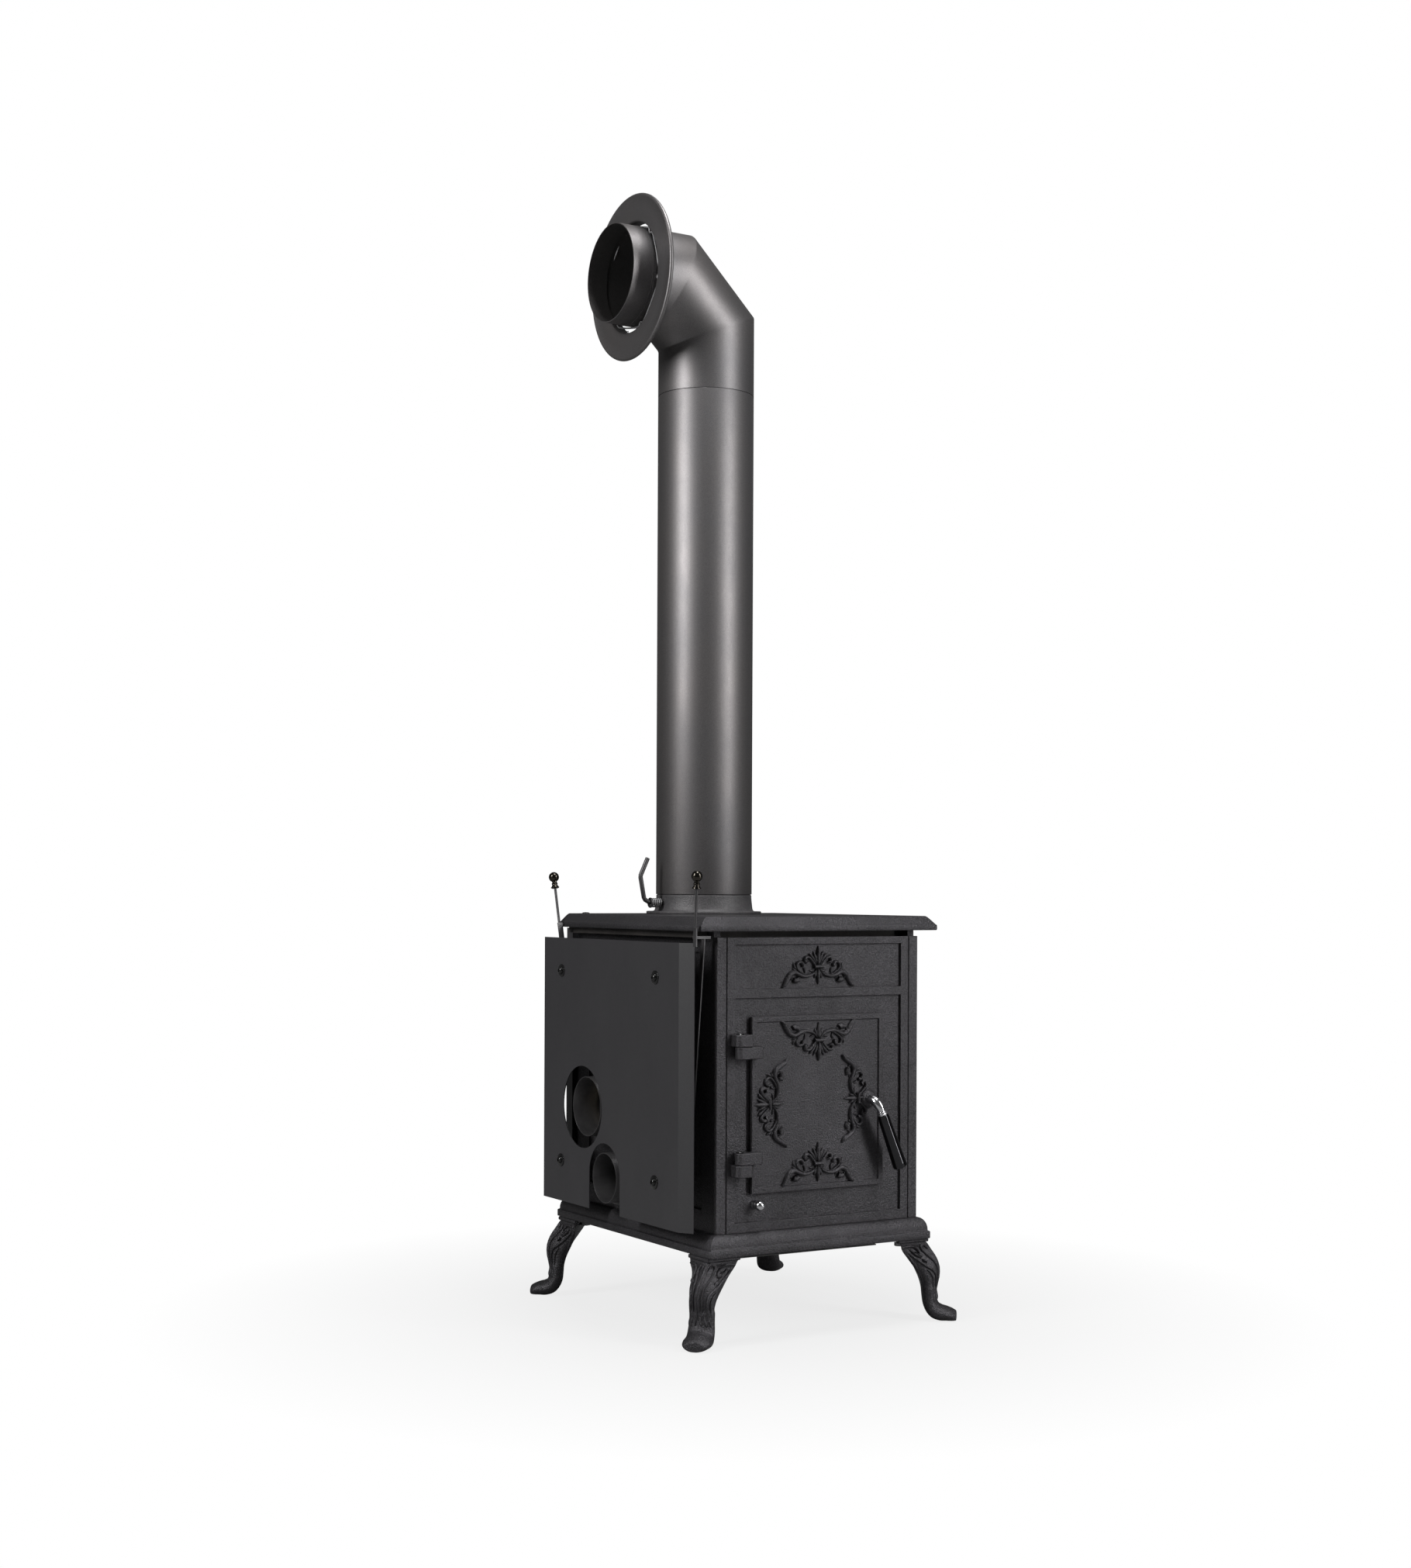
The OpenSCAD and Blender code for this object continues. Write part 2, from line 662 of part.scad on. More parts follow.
// The bent tube's solid of radius r: upright, at 45 degrees, then level, with mitred joints.
// The slanted segment is a touch wider, as its welded seams are.
mitre_step = 0.2;

module elbow_core(r, extra, low) {
    p1 = [0, flue_y, bend1_z];
    p2 = [-elbow_run, flue_y, stub_z];
    intersection() {
        translate([0, flue_y, low]) cylinder(h = bend1_z - low + r, r = r);
        under_plane(p1, 22.5);
    }
    difference() {
        intersection() {
            translate(p1) rotate([0, -45, 0]) translate([0, 0, -r])
                cylinder(h = elbow_run * sqrt(2) + 2 * r, r = r + mitre_step);
            under_plane(p2, 67.5);
        }
        under_plane(p1, 22.5);
    }
    difference() {
        x_cyl(stub_x - extra, -elbow_run + r, flue_y, stub_z, r);
        under_plane(p2, 67.5);
    }
}

// The open end is a narrower sleeve, so that it enters a socket of the pipe's own size
end_len = 33;
end_step = 0.6;

module flue_elbow() {
    neck = 40;
    shoulder = 6;
    end_r = flue_r - end_step;
    color([0.3, 0.3, 0.3]) {
        difference() {
            union() {
                elbow_core(flue_r, 0, elbow_z);
                translate([0, flue_y, elbow_z - neck]) cylinder(h = neck + 1, r = spigot_r);
            }
            elbow_core(flue_r - flue_wall, 5, elbow_z + shoulder);
            translate([0, flue_y, elbow_z - neck - 1])
                cylinder(h = neck + shoulder + 2, r = spigot_r - flue_wall);
            x_cyl(stub_x - 6, stub_x + end_len, flue_y, stub_z, flue_r + 2);
        }
        difference() {
            x_cyl(stub_x, stub_x + end_len + 1, flue_y, stub_z, end_r);
            x_cyl(stub_x - 1, stub_x + end_len + 2, flue_y, stub_z, end_r - flue_wall);
        }
    }
}

ring_x = stub_x + rosette_back;     // the rosette's plane
ring_hole = flue_r + 8;

// Turns a profile of [radius, distance towards the elbow] about the stub's axis
module on_stub() {
    translate([ring_x, flue_y, stub_z]) rotate([0, 90, 0]) rotate_extrude($fn = 96) children();
}

module wall_rosette() {
    rim = 2.5;
    neck = 9;
    color([0.28, 0.28, 0.28]) on_stub() {
        translate([ring_hole, 0]) square([rosette_od / 2 - rim - ring_hole, 1.2]);
        translate([rosette_od / 2 - rim, 1.2]) circle(r = rim, $fn = 24);
        translate([ring_hole, 0]) square([1.2, neck]);
        translate([ring_hole + 1, 1]) square([1.6, 1.6]);
    }
}

module rosette_spring_ring() {
    band = 12;
    color([0.22, 0.22, 0.22]) {
        on_stub() translate([flue_r + run_fit, 1.2]) square([1.2, band]);
        for (a = [35, 155, 275])
            translate([ring_x, flue_y, stub_z]) rotate([a, 0, 0]) intersection() {
                block([3, -6, flue_r + 0.6], [6, 6, ring_hole + 2]);
                x_cyl(0, 9, 0, 0, ring_hole);
            }
    }
}

module damper_disc() {
    disc_r = collar_in - 2;
    boss_r = 7;
    color([0.26, 0.25, 0.25]) difference() {
        union() {
            y_cyl(0, flue_y - damper_t / 2, flue_y + damper_t / 2, spindle_z, disc_r);
            x_cyl(-disc_r * 0.7, disc_r * 0.7, flue_y, spindle_z, boss_r);
        }
        x_cyl(-big, big, flue_y, spindle_z, damper_spindle_r + seat);
        for (s = [-1, 1])
            y_cyl(0, flue_y - 20, flue_y + 20, spindle_z + s * disc_r * 0.55, 9);
    }
}

lever_x = -flue_r - 22;
spring_turns = 5;
spring_wire = 0.9;
spring_r = 6.4;
spring_x0 = -flue_r - 5.05;
spring_pitch = 2.7;

module damper_spindle() {
    a = [lever_x, flue_y, spindle_z];
    b = [lever_x - 13, flue_y, spindle_z + 8];
    c = [lever_x - 17, flue_y, spindle_z + 41];
    d = [lever_x - 4, flue_y, spindle_z + 69];
    color([0.3, 0.3, 0.3]) {
        x_cyl(lever_x, flue_r + 6, flue_y, spindle_z, damper_spindle_r);
        x_cyl(flue_r + 3, flue_r + 7, flue_y, spindle_z, 6);
        x_cyl(lever_x, lever_x + 2.5, flue_y, spindle_z, 7.5);
        rod(a, b, 3);
        rod(b, c, 3);
        rod(c, d, 3);
        translate(b) sphere(r = 3.3);
        translate(c) sphere(r = 3.3);
        translate(d) sphere(r = 3.6);
    }
}

// The spring's wire is swept along its helix with six sides and eight rings a turn
spring_sides = 6;
spring_rings = 8 * spring_turns;
function spring_at(t) = [spring_x0 - spring_pitch * t, flue_y + spring_r * cos(360 * t),
                         spindle_z + spring_r * sin(360 * t)];
function spring_ring(k) = let (t = k / 8, p = spring_at(t), o = [0, cos(360 * t), sin(360 * t)])
    [for (i = [0:spring_sides - 1])
        p + spring_wire * (cos(60 * i) * o + sin(60 * i) * [1, 0, 0])];
spring_gaps = [for (k = [0:spring_rings - 8]) norm(spring_at(k / 8 + 1) - spring_at(k / 8))];
echo(str("least gap between the damper spring's curls: ", min(spring_gaps) - 2 * spring_wire));

module damper_spring() {
    s = spring_sides;
    n = spring_rings;
    points = [for (k = [0:n]) each spring_ring(k)];
    sides = [for (k = [0:n - 1], i = [0:s - 1]) let (j = (i + 1) % s, a = k * s, b = a + s)
        each [[a + i, b + i, b + j], [a + i, b + j, a + j]]];
    ends = [[for (i = [0:s - 1]) i], [for (i = [s - 1:-1:0]) n * s + i]];
    color("gray") polyhedron(points = points, faces = concat(sides, ends));
}

// ---------------------------------------------------------------- door, handle and latch

liner_w = hole_w - 2 * plug_gap - 6;
liner_h = hole_h - 2 * plug_gap - 6;
liner_bolts = [for (sx = [-1, 1], sz = [-1, 1])
    [door_x + sx * (liner_w / 2 - 14), door_z + sz * (liner_h / 2 - 14)]];

module door_knuckle(z) {
    hinge_block(hinge_x - corner_r, door_x - door_w / 2 + 10, z, hinge_y);
    translate([hinge_x, hinge_y, z]) cylinder(h = knuckle_h, r = corner_r);
    block([hinge_x, hinge_y - 1, z], [door_x - door_w / 2 + 8, door_front + 1, z + knuckle_h]);
}

module door() {
    x0 = door_x - door_w / 2;
    x1 = door_x + door_w / 2;
    z0 = door_z - door_h / 2;
    z1 = door_z + door_h / 2;
    upper_knuckle_z = upper_lug_z - knuckle_h - part_gap;
    lower_knuckle_z = lower_lug_z + knuckle_h + part_gap;
    seal_mid = door_lap / 2 + 0.5;
    depth = 4.5;
    side_foot = 59;        // a side ornament's foot, from the rim
    color([0.24, 0.23, 0.24]) difference() {
        union() {
            difference() {
                block([x0, door_front, z0], [x1, door_back, z1]);
                block([x0 + door_rim, door_front - 1, z0 + door_rim],
                      [x1 - door_rim, door_front + door_dish, z1 - door_rim]);
            }
            block([door_x - hole_w / 2 + plug_gap, door_back - 1, door_z - hole_h / 2 + plug_gap],
                  [door_x + hole_w / 2 - plug_gap, front_in, door_z + hole_h / 2 - plug_gap]);
            door_knuckle(upper_knuckle_z);
            door_knuckle(lower_knuckle_z);
            relief(door_x, door_front + door_dish + 1, z1 - door_rim, 180, depth);
            relief(door_x, door_front + door_dish + 1, z0 + door_rim, 0, depth);
            relief(x0 + door_rim + side_foot, door_front + door_dish + 1, door_z, 90, depth);
            relief(x1 - door_rim - side_foot, door_front + door_dish + 1, door_z, -90, depth);
            translate([spindle_x, door_front + door_dish + 1, door_z + 1]) rotate([90, 0, 0])
                cylinder(h = boss_len + 1, r1 = 15, r2 = 10.5);
        }
        for (z = [upper_knuckle_z, lower_knuckle_z])
            translate([hinge_x, hinge_y, z - 1]) cylinder(h = knuckle_h + 2, r = pin_r + run_fit);
        y_cyl(spindle_x, door_front - 30, front_in + 1, door_z + 1, spindle_r + run_fit);
        for (p = liner_bolts)
            y_cyl(p[0], front_in - 5, front_in + 1, p[1], 3 + seat);
        difference() {
            seal_frame(door_w / 2 - seal_mid + seal_w / 2, door_h / 2 - seal_mid + seal_w / 2,
                       door_back - seal_in, door_back + 1);
            seal_frame(door_w / 2 - seal_mid - seal_w / 2, door_h / 2 - seal_mid - seal_w / 2,
                       door_back - seal_in - 1, door_back + 2);
        }
    }
}

module seal_frame(half_w, half_h, y0, y1) {
    block([door_x - half_w, y0, door_z - half_h], [door_x + half_w, y1, door_z + half_h]);
}

module door_rope_seal() {
    mid = door_lap / 2 + 0.5;
    half = seal_w / 2 - 0.1;
    color([0.8, 0.8, 0.75]) difference() {
        seal_frame(door_w / 2 - mid + half, door_h / 2 - mid + half, door_back - seal_in + eps,
                   door_back + 0.2);
        seal_frame(door_w / 2 - mid - half, door_h / 2 - mid - half, door_back - seal_in - 1,
                   door_back + 1);
    }
}

module hinge_pins() {
    color([0.2, 0.2, 0.2]) {
        translate([hinge_x, hinge_y, upper_lug_z - knuckle_h - part_gap])
            cylinder(h = 2 * knuckle_h + part_gap + eps, r = pin_r);
        translate([hinge_x, hinge_y, upper_lug_z + knuckle_h]) cylinder(h = 1.5, r = pin_r + 2);
        translate([hinge_x, hinge_y, lower_lug_z]) cylinder(h = 2 * knuckle_h + 2 * part_gap + eps, r = pin_r);
        translate([hinge_x, hinge_y, lower_lug_z + 2 * knuckle_h + 2 * part_gap])
            cylinder(h = 1.5, r = pin_r + 2);
    }
}

module door_liner() {
    color([0.35, 0.35, 0.36]) difference() {
        union() {
            block([door_x - liner_w / 2, liner_front, door_z - liner_h / 2],
                  [door_x + liner_w / 2, liner_back, door_z + liner_h / 2]);
            for (p = liner_bolts) y_cyl(p[0], front_in, liner_front + 1, p[1], 7);
        }
        for (p = liner_bolts) y_cyl(p[0], front_in - 1, liner_back + 1, p[1], 3 + bolt_fit);
        y_cyl(spindle_x, front_in - 1, liner_back + 1, door_z + 1, spindle_r + 3);
    }
}

module door_liner_bolts() {
    color("dimgray") for (p = liner_bolts) {
        y_cyl(p[0], front_in - 4.5, liner_back + eps, p[1], 3);
        translate([p[0], liner_back + 3.5, p[1]]) rotate([90, 0, 0]) hex(5.5, 3.5);
    }
}

// The handle's own frame: origin on the spindle's axis, +Z along the hanging grip
module along_grip() {
    translate([spindle_x, elbow_y, door_z + 1]) rotate([0, 180 - grip_angle, 0]) children();
}

module handle_arm() {
    color([0.8, 0.8, 0.82]) {
        y_cyl(spindle_x, elbow_y, cam_back, door_z + 1, spindle_r);
        y_cyl(spindle_x, cam_back - eps, cam_back + nut_t + 1.5, door_z + 1, spindle_r - 1);
        y_cyl(spindle_x, elbow_y, boss_front - 0.3, door_z + 1, 7);
        translate([spindle_x, elbow_y, door_z + 1]) sphere(r = 7.2);
        along_grip() cylinder(h = arm_len, r1 = 7, r2 = 5.5);
    }
}

module handle_ferrule() {
    color([0.85, 0.85, 0.87]) along_grip() translate([0, 0, arm_len])
        rotate_extrude() {
            square([6, 4]);
            translate([6, 2]) circle(r = 2, $fn = 24);
        }
}

module handle_grip() {
    end = 2;
    color([0.04, 0.04, 0.04]) along_grip() translate([0, 0, arm_len + 4])
        rotate_extrude() polygon(concat(
            [[0, 0], [grip_d / 2 - 3.5, 0]],
            [for (a = [0:30:90]) [grip_d / 2 - end + end * cos(a), grip_len - end + end * sin(a)]],
            [[0, grip_len]]));
}

module latch_cam() {
    color("dimgray") difference() {
        union() {
            y_cyl(spindle_x, cam_front, cam_back, door_z + 1, 9);
            block([spindle_x - 7, cam_front, door_z + 1 - cam_len],
                  [spindle_x + 7, cam_back, door_z + 1]);
        }
        y_cyl(spindle_x, cam_front - 1, cam_back + 1, door_z + 1, spindle_r + seat);
    }
}

module latch_nut() {
    color("dimgray") difference() {
        translate([spindle_x, cam_back + nut_t, door_z + 1]) rotate([90, 0, 0]) hex(nut_r, nut_t);
        y_cyl(spindle_x, cam_back - 1, cam_back + nut_t + 1, door_z + 1, spindle_r - 1 + seat);
    }
}

// ---------------------------------------------------------------- air control

module air_rod() {
    color("gray") y_cyl(air_x, panel_y - 10, slide_y + 6, air_z, air_r);
}

module air_knob() {
    ball = 8;
    color([0.85, 0.85, 0.87]) translate([air_x, panel_y - part_gap, air_z]) rotate([90, 0, 0])
        difference() {
            union() {
                cylinder(h = 7, r1 = 6.5, r2 = 3.8);
                translate([0, 0, 6]) cylinder(h = 4, r = 3.8);
                translate([0, 0, 8 + ball]) sphere(r = ball);
            }
            translate([0, 0, -1]) cylinder(h = 11, r = air_r + seat);
        }
}

module air_slide() {
    w = 14;
    color("gray") difference() {
        union() {
            block([air_x - w, slide_y, deck_z + 0.2], [air_x + w, slide_y + 2, air_z + 8]);
            block([air_x - w, slide_y, deck_z + 0.2], [air_x + w, slide_y + 78, deck_z + 2.2]);
        }
        y_cyl(air_x, slide_y - 1, slide_y + 3, air_z, air_r + seat);
    }
}

// ---------------------------------------------------------------- firebox

grate_w = 150;
grate_d = 210;
grate_y = front_y + 195;

// Holes of a plate for the tie rods
module tie_holes(z0, z1) {
    for (x = [-1, 1], y = tie_ys)
        translate([x * tie_x, y, z0]) cylinder(h = z1 - z0, r = tie_r + 1);
}

module hearth_plate() {
    color([0.22, 0.21, 0.21]) difference() {
        block([-in_x + 1, front_in + 1, hearth_z], [in_x - 1, back_in - 1, floor_z]);
        tie_holes(hearth_z - 1, floor_z + 1);
        block([-grate_w / 2 - 1, grate_y - grate_d / 2 - 1, floor_z - 4],
              [grate_w / 2 + 1, grate_y + grate_d / 2 + 1, floor_z + 1]);
        block([-grate_w / 2 + 8, grate_y - grate_d / 2 + 8, hearth_z - 1],
              [grate_w / 2 - 8, grate_y + grate_d / 2 - 8, floor_z + 1]);
    }
}

module grate() {
    bars = 9;
    pitch = (grate_w - 20) / bars;
    color([0.2, 0.19, 0.19]) difference() {
        block([-grate_w / 2, grate_y - grate_d / 2, floor_z - 4],
              [grate_w / 2, grate_y + grate_d / 2, floor_z + 4]);
        for (i = [0:bars - 1], s = [-1, 1])
            translate([-grate_w / 2 + 10 + pitch * (i + 0.5), grate_y + s * 48, floor_z])
                cube([7, 84, 20], center = true);
    }
}

module ash_pan() {
    x0 = -grate_w / 2 + 11;
    x1 = grate_w / 2 - 11;
    y0 = grate_y - grate_d / 2 + 25;
    y1 = grate_y + grate_d / 2 - 11;
    h = 40;
    t = 1.5;
    color([0.2, 0.2, 0.2]) difference() {
        union() {
            block([x0, y0, deck_z], [x1, y1, deck_z + h]);
            block([x0 + 44, y0 - 13, deck_z + h - 8], [x1 - 44, y0, deck_z + h - 5]);
        }
        block([x0 + t, y0 + t, deck_z + t], [x1 - t, y1 - t, deck_z + h + 1]);
    }
}

module log_guard() {
    y0 = liner_back + nut_t + cam_t + 5;
    color([0.22, 0.21, 0.21]) difference() {
        block([door_x - 106, y0, floor_z], [door_x + 106, y0 + 8, floor_z + 38]);
        for (i = [-4:4])
            block([door_x + i * 22 - 4, y0 - 1, floor_z + 10], [door_x + i * 22 + 4, y0 + 9, floor_z + 28]);
    }
}

module baffle_plate() {
    color([0.22, 0.21, 0.21]) difference() {
        block([-in_x + 1, front_in + 120, baffle_z], [in_x - 1, back_in - 1, baffle_z + hearth_t]);
        tie_holes(baffle_z - 1, baffle_z + hearth_t + 1);
    }
}

module side_bricks() {
    color([0.8, 0.72, 0.55]) for (s = [-1, 1])
        block([s > 0 ? in_x - brick_t - 0.5 : -in_x + 0.5, front_in + 40, floor_z],
              [s > 0 ? in_x - 0.5 : -in_x + brick_t + 0.5, brick_back, floor_z + brick_h]);
}

module rear_brick() {
    color([0.8, 0.72, 0.55])
        block([-in_x + 16, back_in - brick_t - 0.5, floor_z], [in_x - 16, back_in - 0.5, floor_z + brick_h]);
}

// ---------------------------------------------------------------- shields

shield_screw_r = 3;
spacer_r = 6;
shield_points = [for (sy = [-1, 1], sz = [-1, 1])
    [screw_y + sy * screw_spread / 2, screw_z + sz * screw_spread / 2]];

module side_heat_shield() {
    x0 = shield_x - sheet_t;
    y1 = shield_front + shield_d;
    z1 = shield_low + shield_h;
    slot_y = lower_y - 8;
    slot_z = lower_z + 5;
    color([0.2, 0.2, 0.21]) difference() {
        union() {
            block([x0, shield_front, shield_low], [shield_x, y1, z1]);
            translate([x0, shield_front, shield_low]) rotate([0, 0, shield_bend_angle])
                block([0, -shield_bend / cos(shield_bend_angle), 0], [sheet_t, 0, shield_h]);
        }
        x_cyl(x0 - 1, shield_x + 1, upper_y + 6, upper_z - 1, shield_hole_d / 2);
        x_cyl(x0 - 1, shield_x + 1, slot_y, slot_z, shield_slot_w / 2);
        block([x0 - 1, slot_y - shield_slot_w / 2, shield_low - 1],
              [shield_x + 1, slot_y + shield_slot_w / 2, slot_z]);
        for (p = shield_points)
            x_cyl(x0 - 1, shield_x + 1, p[0], p[1], shield_screw_r + bolt_fit);
    }
}

module shield_screws() {
    head_r = 5;
    head_h = 4;
    face = shield_x - sheet_t - washer_t;
    ball = (head_r * head_r + head_h * head_h) / (2 * head_h);
    color([0.05, 0.05, 0.05]) for (p = shield_points) {
        x_cyl(face - 1, -in_x - 2, p[0], p[1], shield_screw_r);
        translate([face, p[0], p[1]]) intersection() {
            translate([ball - head_h, 0, 0]) sphere(r = ball);
            block([-head_h - 1, -head_r - 1, -head_r - 1], [0, head_r + 1, head_r + 1]);
        }
    }
}

washer_t = 1.4;

module shield_washers() {
    face = shield_x - sheet_t;
    color([0.1, 0.1, 0.1]) for (p = shield_points) difference() {
        x_cyl(face - washer_t, face, p[0], p[1], 9);
        x_cyl(face - washer_t - 1, face + 1, p[0], p[1], shield_screw_r + bolt_fit);
    }
}

module shield_spacers() {
    color("dimgray") for (p = shield_points) difference() {
        x_cyl(shield_x, -wall_x, p[0], p[1], spacer_r);
        x_cyl(shield_x - 1, -wall_x + 1, p[0], p[1], shield_screw_r + bolt_fit);
    }
}

rear_gap = 26;
rear_screw_r = 2.5;
rear_points = [for (sx = [-1, 1], sz = [-1, 1]) [sx * 120, deck_z + body_h / 2 + sz * 150]];

// Sheet behind the back plate, with side flanges that reach forward to it
module rear_heat_shield() {
    y1 = back_y + rear_gap;
    z0 = deck_z + 2;
    z1 = top_z - 6;
    color([0.2, 0.2, 0.21]) difference() {
        block([-side_x, back_y + 6, z0], [side_x, y1, z1]);
        block([-side_x + sheet_t, back_y, z0 - 1], [side_x - sheet_t, y1 - sheet_t, z1 + 1]);
        for (p = rear_points)
            y_cyl(p[0], back_y, y1 + 1, p[1], rear_screw_r + bolt_fit);
    }
}

module rear_shield_screws() {
    y1 = back_y + rear_gap;
    color("dimgray") for (p = rear_points) {
        difference() {
            y_cyl(p[0], back_y, y1 - sheet_t, p[1], 6);
            y_cyl(p[0], back_y - 1, y1 + 1, p[1], rear_screw_r + bolt_fit);
        }
        y_cyl(p[0], back_in + 2, y1 + eps, p[1], rear_screw_r);
        y_cyl(p[0], y1, y1 + 3, p[1], 5);
    }
}

// ---------------------------------------------------------------- ducts and gates

module duct(y, z, od) {
    color([0.15, 0.15, 0.15]) difference() {
        x_cyl(shield_x + duct_short, frame_x, y, z, od / 2);
        x_cyl(shield_x, frame_x + 1, y, z, od / 2 - duct_wall);
    }
}

module upper_duct() { duct(upper_y, upper_z, upper_duct_od); }
module lower_duct() { duct(lower_y, lower_z, lower_duct_od); }

// Pocket plate that holds a duct and guides its gate; the pocket is open at the top
module gate_frame(y, z, od, w, low, h, blade_w, blade_low) {
    color([0.2, 0.2, 0.2]) difference() {
        block([frame_x, y - w / 2, low], [-wall_x, y + w / 2, low + h]);
        block([-wall_x - pocket_t, y - blade_w / 2 - slide_gap, blade_low],
              [-wall_x + 1, y + blade_w / 2 + slide_gap, low + h + 1]);
        x_cyl(frame_x - 1, -wall_x - 1, y, z, od / 2 - duct_wall / 2);
    }
}

upper_blade_w = throat_w + 2 * lap;
upper_blade_h = upper_throat_h + 2 * lap;
lower_blade_w = lower_throat_w + 2 * lap;
lower_blade_h = lower_throat_h + 2 * lap;
upper_blade_low = upper_z - upper_throat_h / 2 - lap;
lower_blade_low = lower_z - lower_throat_h / 2 - lap;

module upper_gate_frame() {
    gate_frame(upper_y, upper_z, upper_duct_od, upper_frame_w, upper_frame_low, upper_frame_h,
               upper_blade_w, upper_blade_low - slide_gap);
}

module lower_gate_frame() {
    gate_frame(lower_y, lower_z, lower_duct_od, lower_frame_w, lower_frame_low, lower_frame_h,
               lower_blade_w, lower_blade_low - slide_gap);
}

// Both gates are drawn up, as they stand when open, and slide down to close
upper_arm_z = upper_frame_low + upper_frame_h + upper_travel + 4;
lower_arm_z = lower_frame_low + lower_frame_h + lower_travel + 4;

module upper_gate() {
    z0 = upper_blade_low + upper_travel;
    x0 = pocket_mid - blade_t / 2;
    x1 = pocket_mid + blade_t / 2;
    arm_h = 10;
    bar_x = rod_x;
    bend_z = rod_low - 4;
    lean = upper_lean;
    color([0.25, 0.25, 0.25]) {
        block([x0, upper_y - upper_blade_w / 2, z0],
              [x1, upper_y + upper_blade_w / 2, z0 + upper_blade_h]);
        block([x0, upper_y - 8, z0 + upper_blade_h - 1], [x1, upper_y + 8, upper_arm_z + arm_h]);
        block([bar_x - 1, upper_y - 8, upper_arm_z], [x1, upper_y - 5, upper_arm_z + arm_h]);
        block([bar_x - 1, upper_y - 8, upper_arm_z],
              [bar_x + 1, upper_bar_y + bar_w / 2, upper_arm_z + arm_h]);
        block([bar_x - 1, upper_bar_y - bar_w / 2, upper_arm_z],
              [bar_x + 1, upper_bar_y + bar_w / 2, bend_z]);
        translate([bar_x, upper_bar_y, bend_z - 1]) rotate([-lean, 0, 0])
            block([-1, -bar_w / 2, 0], [1, bar_w / 2, upper_tongue]);
    }
}

upper_lean = 15;
lower_lean = -3.3;
upper_tongue = 31;     // the leaning end of the upper gate's bar, up to its rod
lower_rod_y = front_y - 5;
strip_x = rod_x + 22;
strip_lean = 6.5;
flange_gap = 3.5;      // the front bracket clears the shield's bent strip

module lower_gate() {
    z0 = lower_blade_low + lower_travel;
    x0 = pocket_mid - blade_t / 2;
    x1 = pocket_mid + blade_t / 2;
    tab_y = lower_y - lower_blade_w / 2;
    arm_h = 10;
    strip_top = rod_low + 15;
    bracket_z = rod_low + 11;
    strip_y = front_y + 9;
    strip_len = strip_top - lower_arm_z;
    foot_y = strip_y + strip_len * tan(strip_lean);
    color([0.25, 0.25, 0.25]) {
        block([x0, tab_y, z0], [x1, tab_y + lower_blade_w, z0 + lower_blade_h]);
        block([x0, tab_y, z0 + lower_blade_h - 1], [x1, tab_y + 16, lower_arm_z + arm_h]);
        block([strip_x - 1, tab_y, lower_arm_z], [x1, tab_y + 3, lower_arm_z + arm_h]);
        block([strip_x - 1, foot_y - bar_w / 2, lower_arm_z],
              [strip_x + 1, tab_y + 3, lower_arm_z + arm_h]);
        translate([strip_x, strip_y, strip_top]) rotate([strip_lean, 0, 0])
            block([-1, -bar_w / 2, -strip_len / cos(strip_lean)], [1, bar_w / 2, 0]);
        block([rod_x - 1, lower_rod_y - bar_w / 2, rod_low],
              [rod_x + 1, lower_rod_y + bar_w / 2, rod_low + 26]);
        block([rod_x - 1, lower_rod_y - bar_w / 2, bracket_z],
              [strip_x + 1, shield_front - shield_bend - flange_gap, strip_top]);
        block([strip_x - 3, lower_rod_y - bar_w / 2, bracket_z],
              [strip_x + 1, strip_y + bar_w / 2, strip_top]);
    }
}

upper_rod_low = [rod_x, upper_bar_y + upper_tongue * sin(upper_lean),
    rod_low - 5 + upper_tongue * cos(upper_lean)];
upper_rod_len = (knob_z - upper_rod_low[2]) / cos(upper_lean);
lower_rod_low = [rod_x, lower_rod_y, rod_low + 26];
lower_rod_len = (knob_z - lower_rod_low[2]) / cos(lower_lean);

// The frame of a gate's rod: origin at the rod's lower end, +Z along the rod
module on_rod(low, lean) {
    translate(low) rotate([-lean, 0, 0]) children();
}

module gate_rod(low, lean, len) {
    color([0.5, 0.5, 0.5]) on_rod(low, lean) cylinder(h = len - gate_knob_d / 2 - 4, r = rod_r);
}

module gate_knob(low, lean, len) {
    r = gate_knob_d / 2;
    color([0.15, 0.15, 0.16]) on_rod(low, lean) difference() {
        union() {
            translate([0, 0, len]) sphere(r = r);
            translate([0, 0, len - r - 3]) cylinder(h = 6, r = 4);
            translate([0, 0, len - r - 9]) cylinder(h = 6.5, r1 = 6.5, r2 = 3.6);
        }
        translate([0, 0, len - r - 10]) cylinder(h = 6, r = rod_r + seat);
    }
}

module upper_gate_rod() { gate_rod(upper_rod_low, upper_lean, upper_rod_len); }
module lower_gate_rod() { gate_rod(lower_rod_low, lower_lean, lower_rod_len); }
module upper_gate_knob() { gate_knob(upper_rod_low, upper_lean, upper_rod_len); }
module lower_gate_knob() { gate_knob(lower_rod_low, lower_lean, lower_rod_len); }

// ---------------------------------------------------------------- nodes

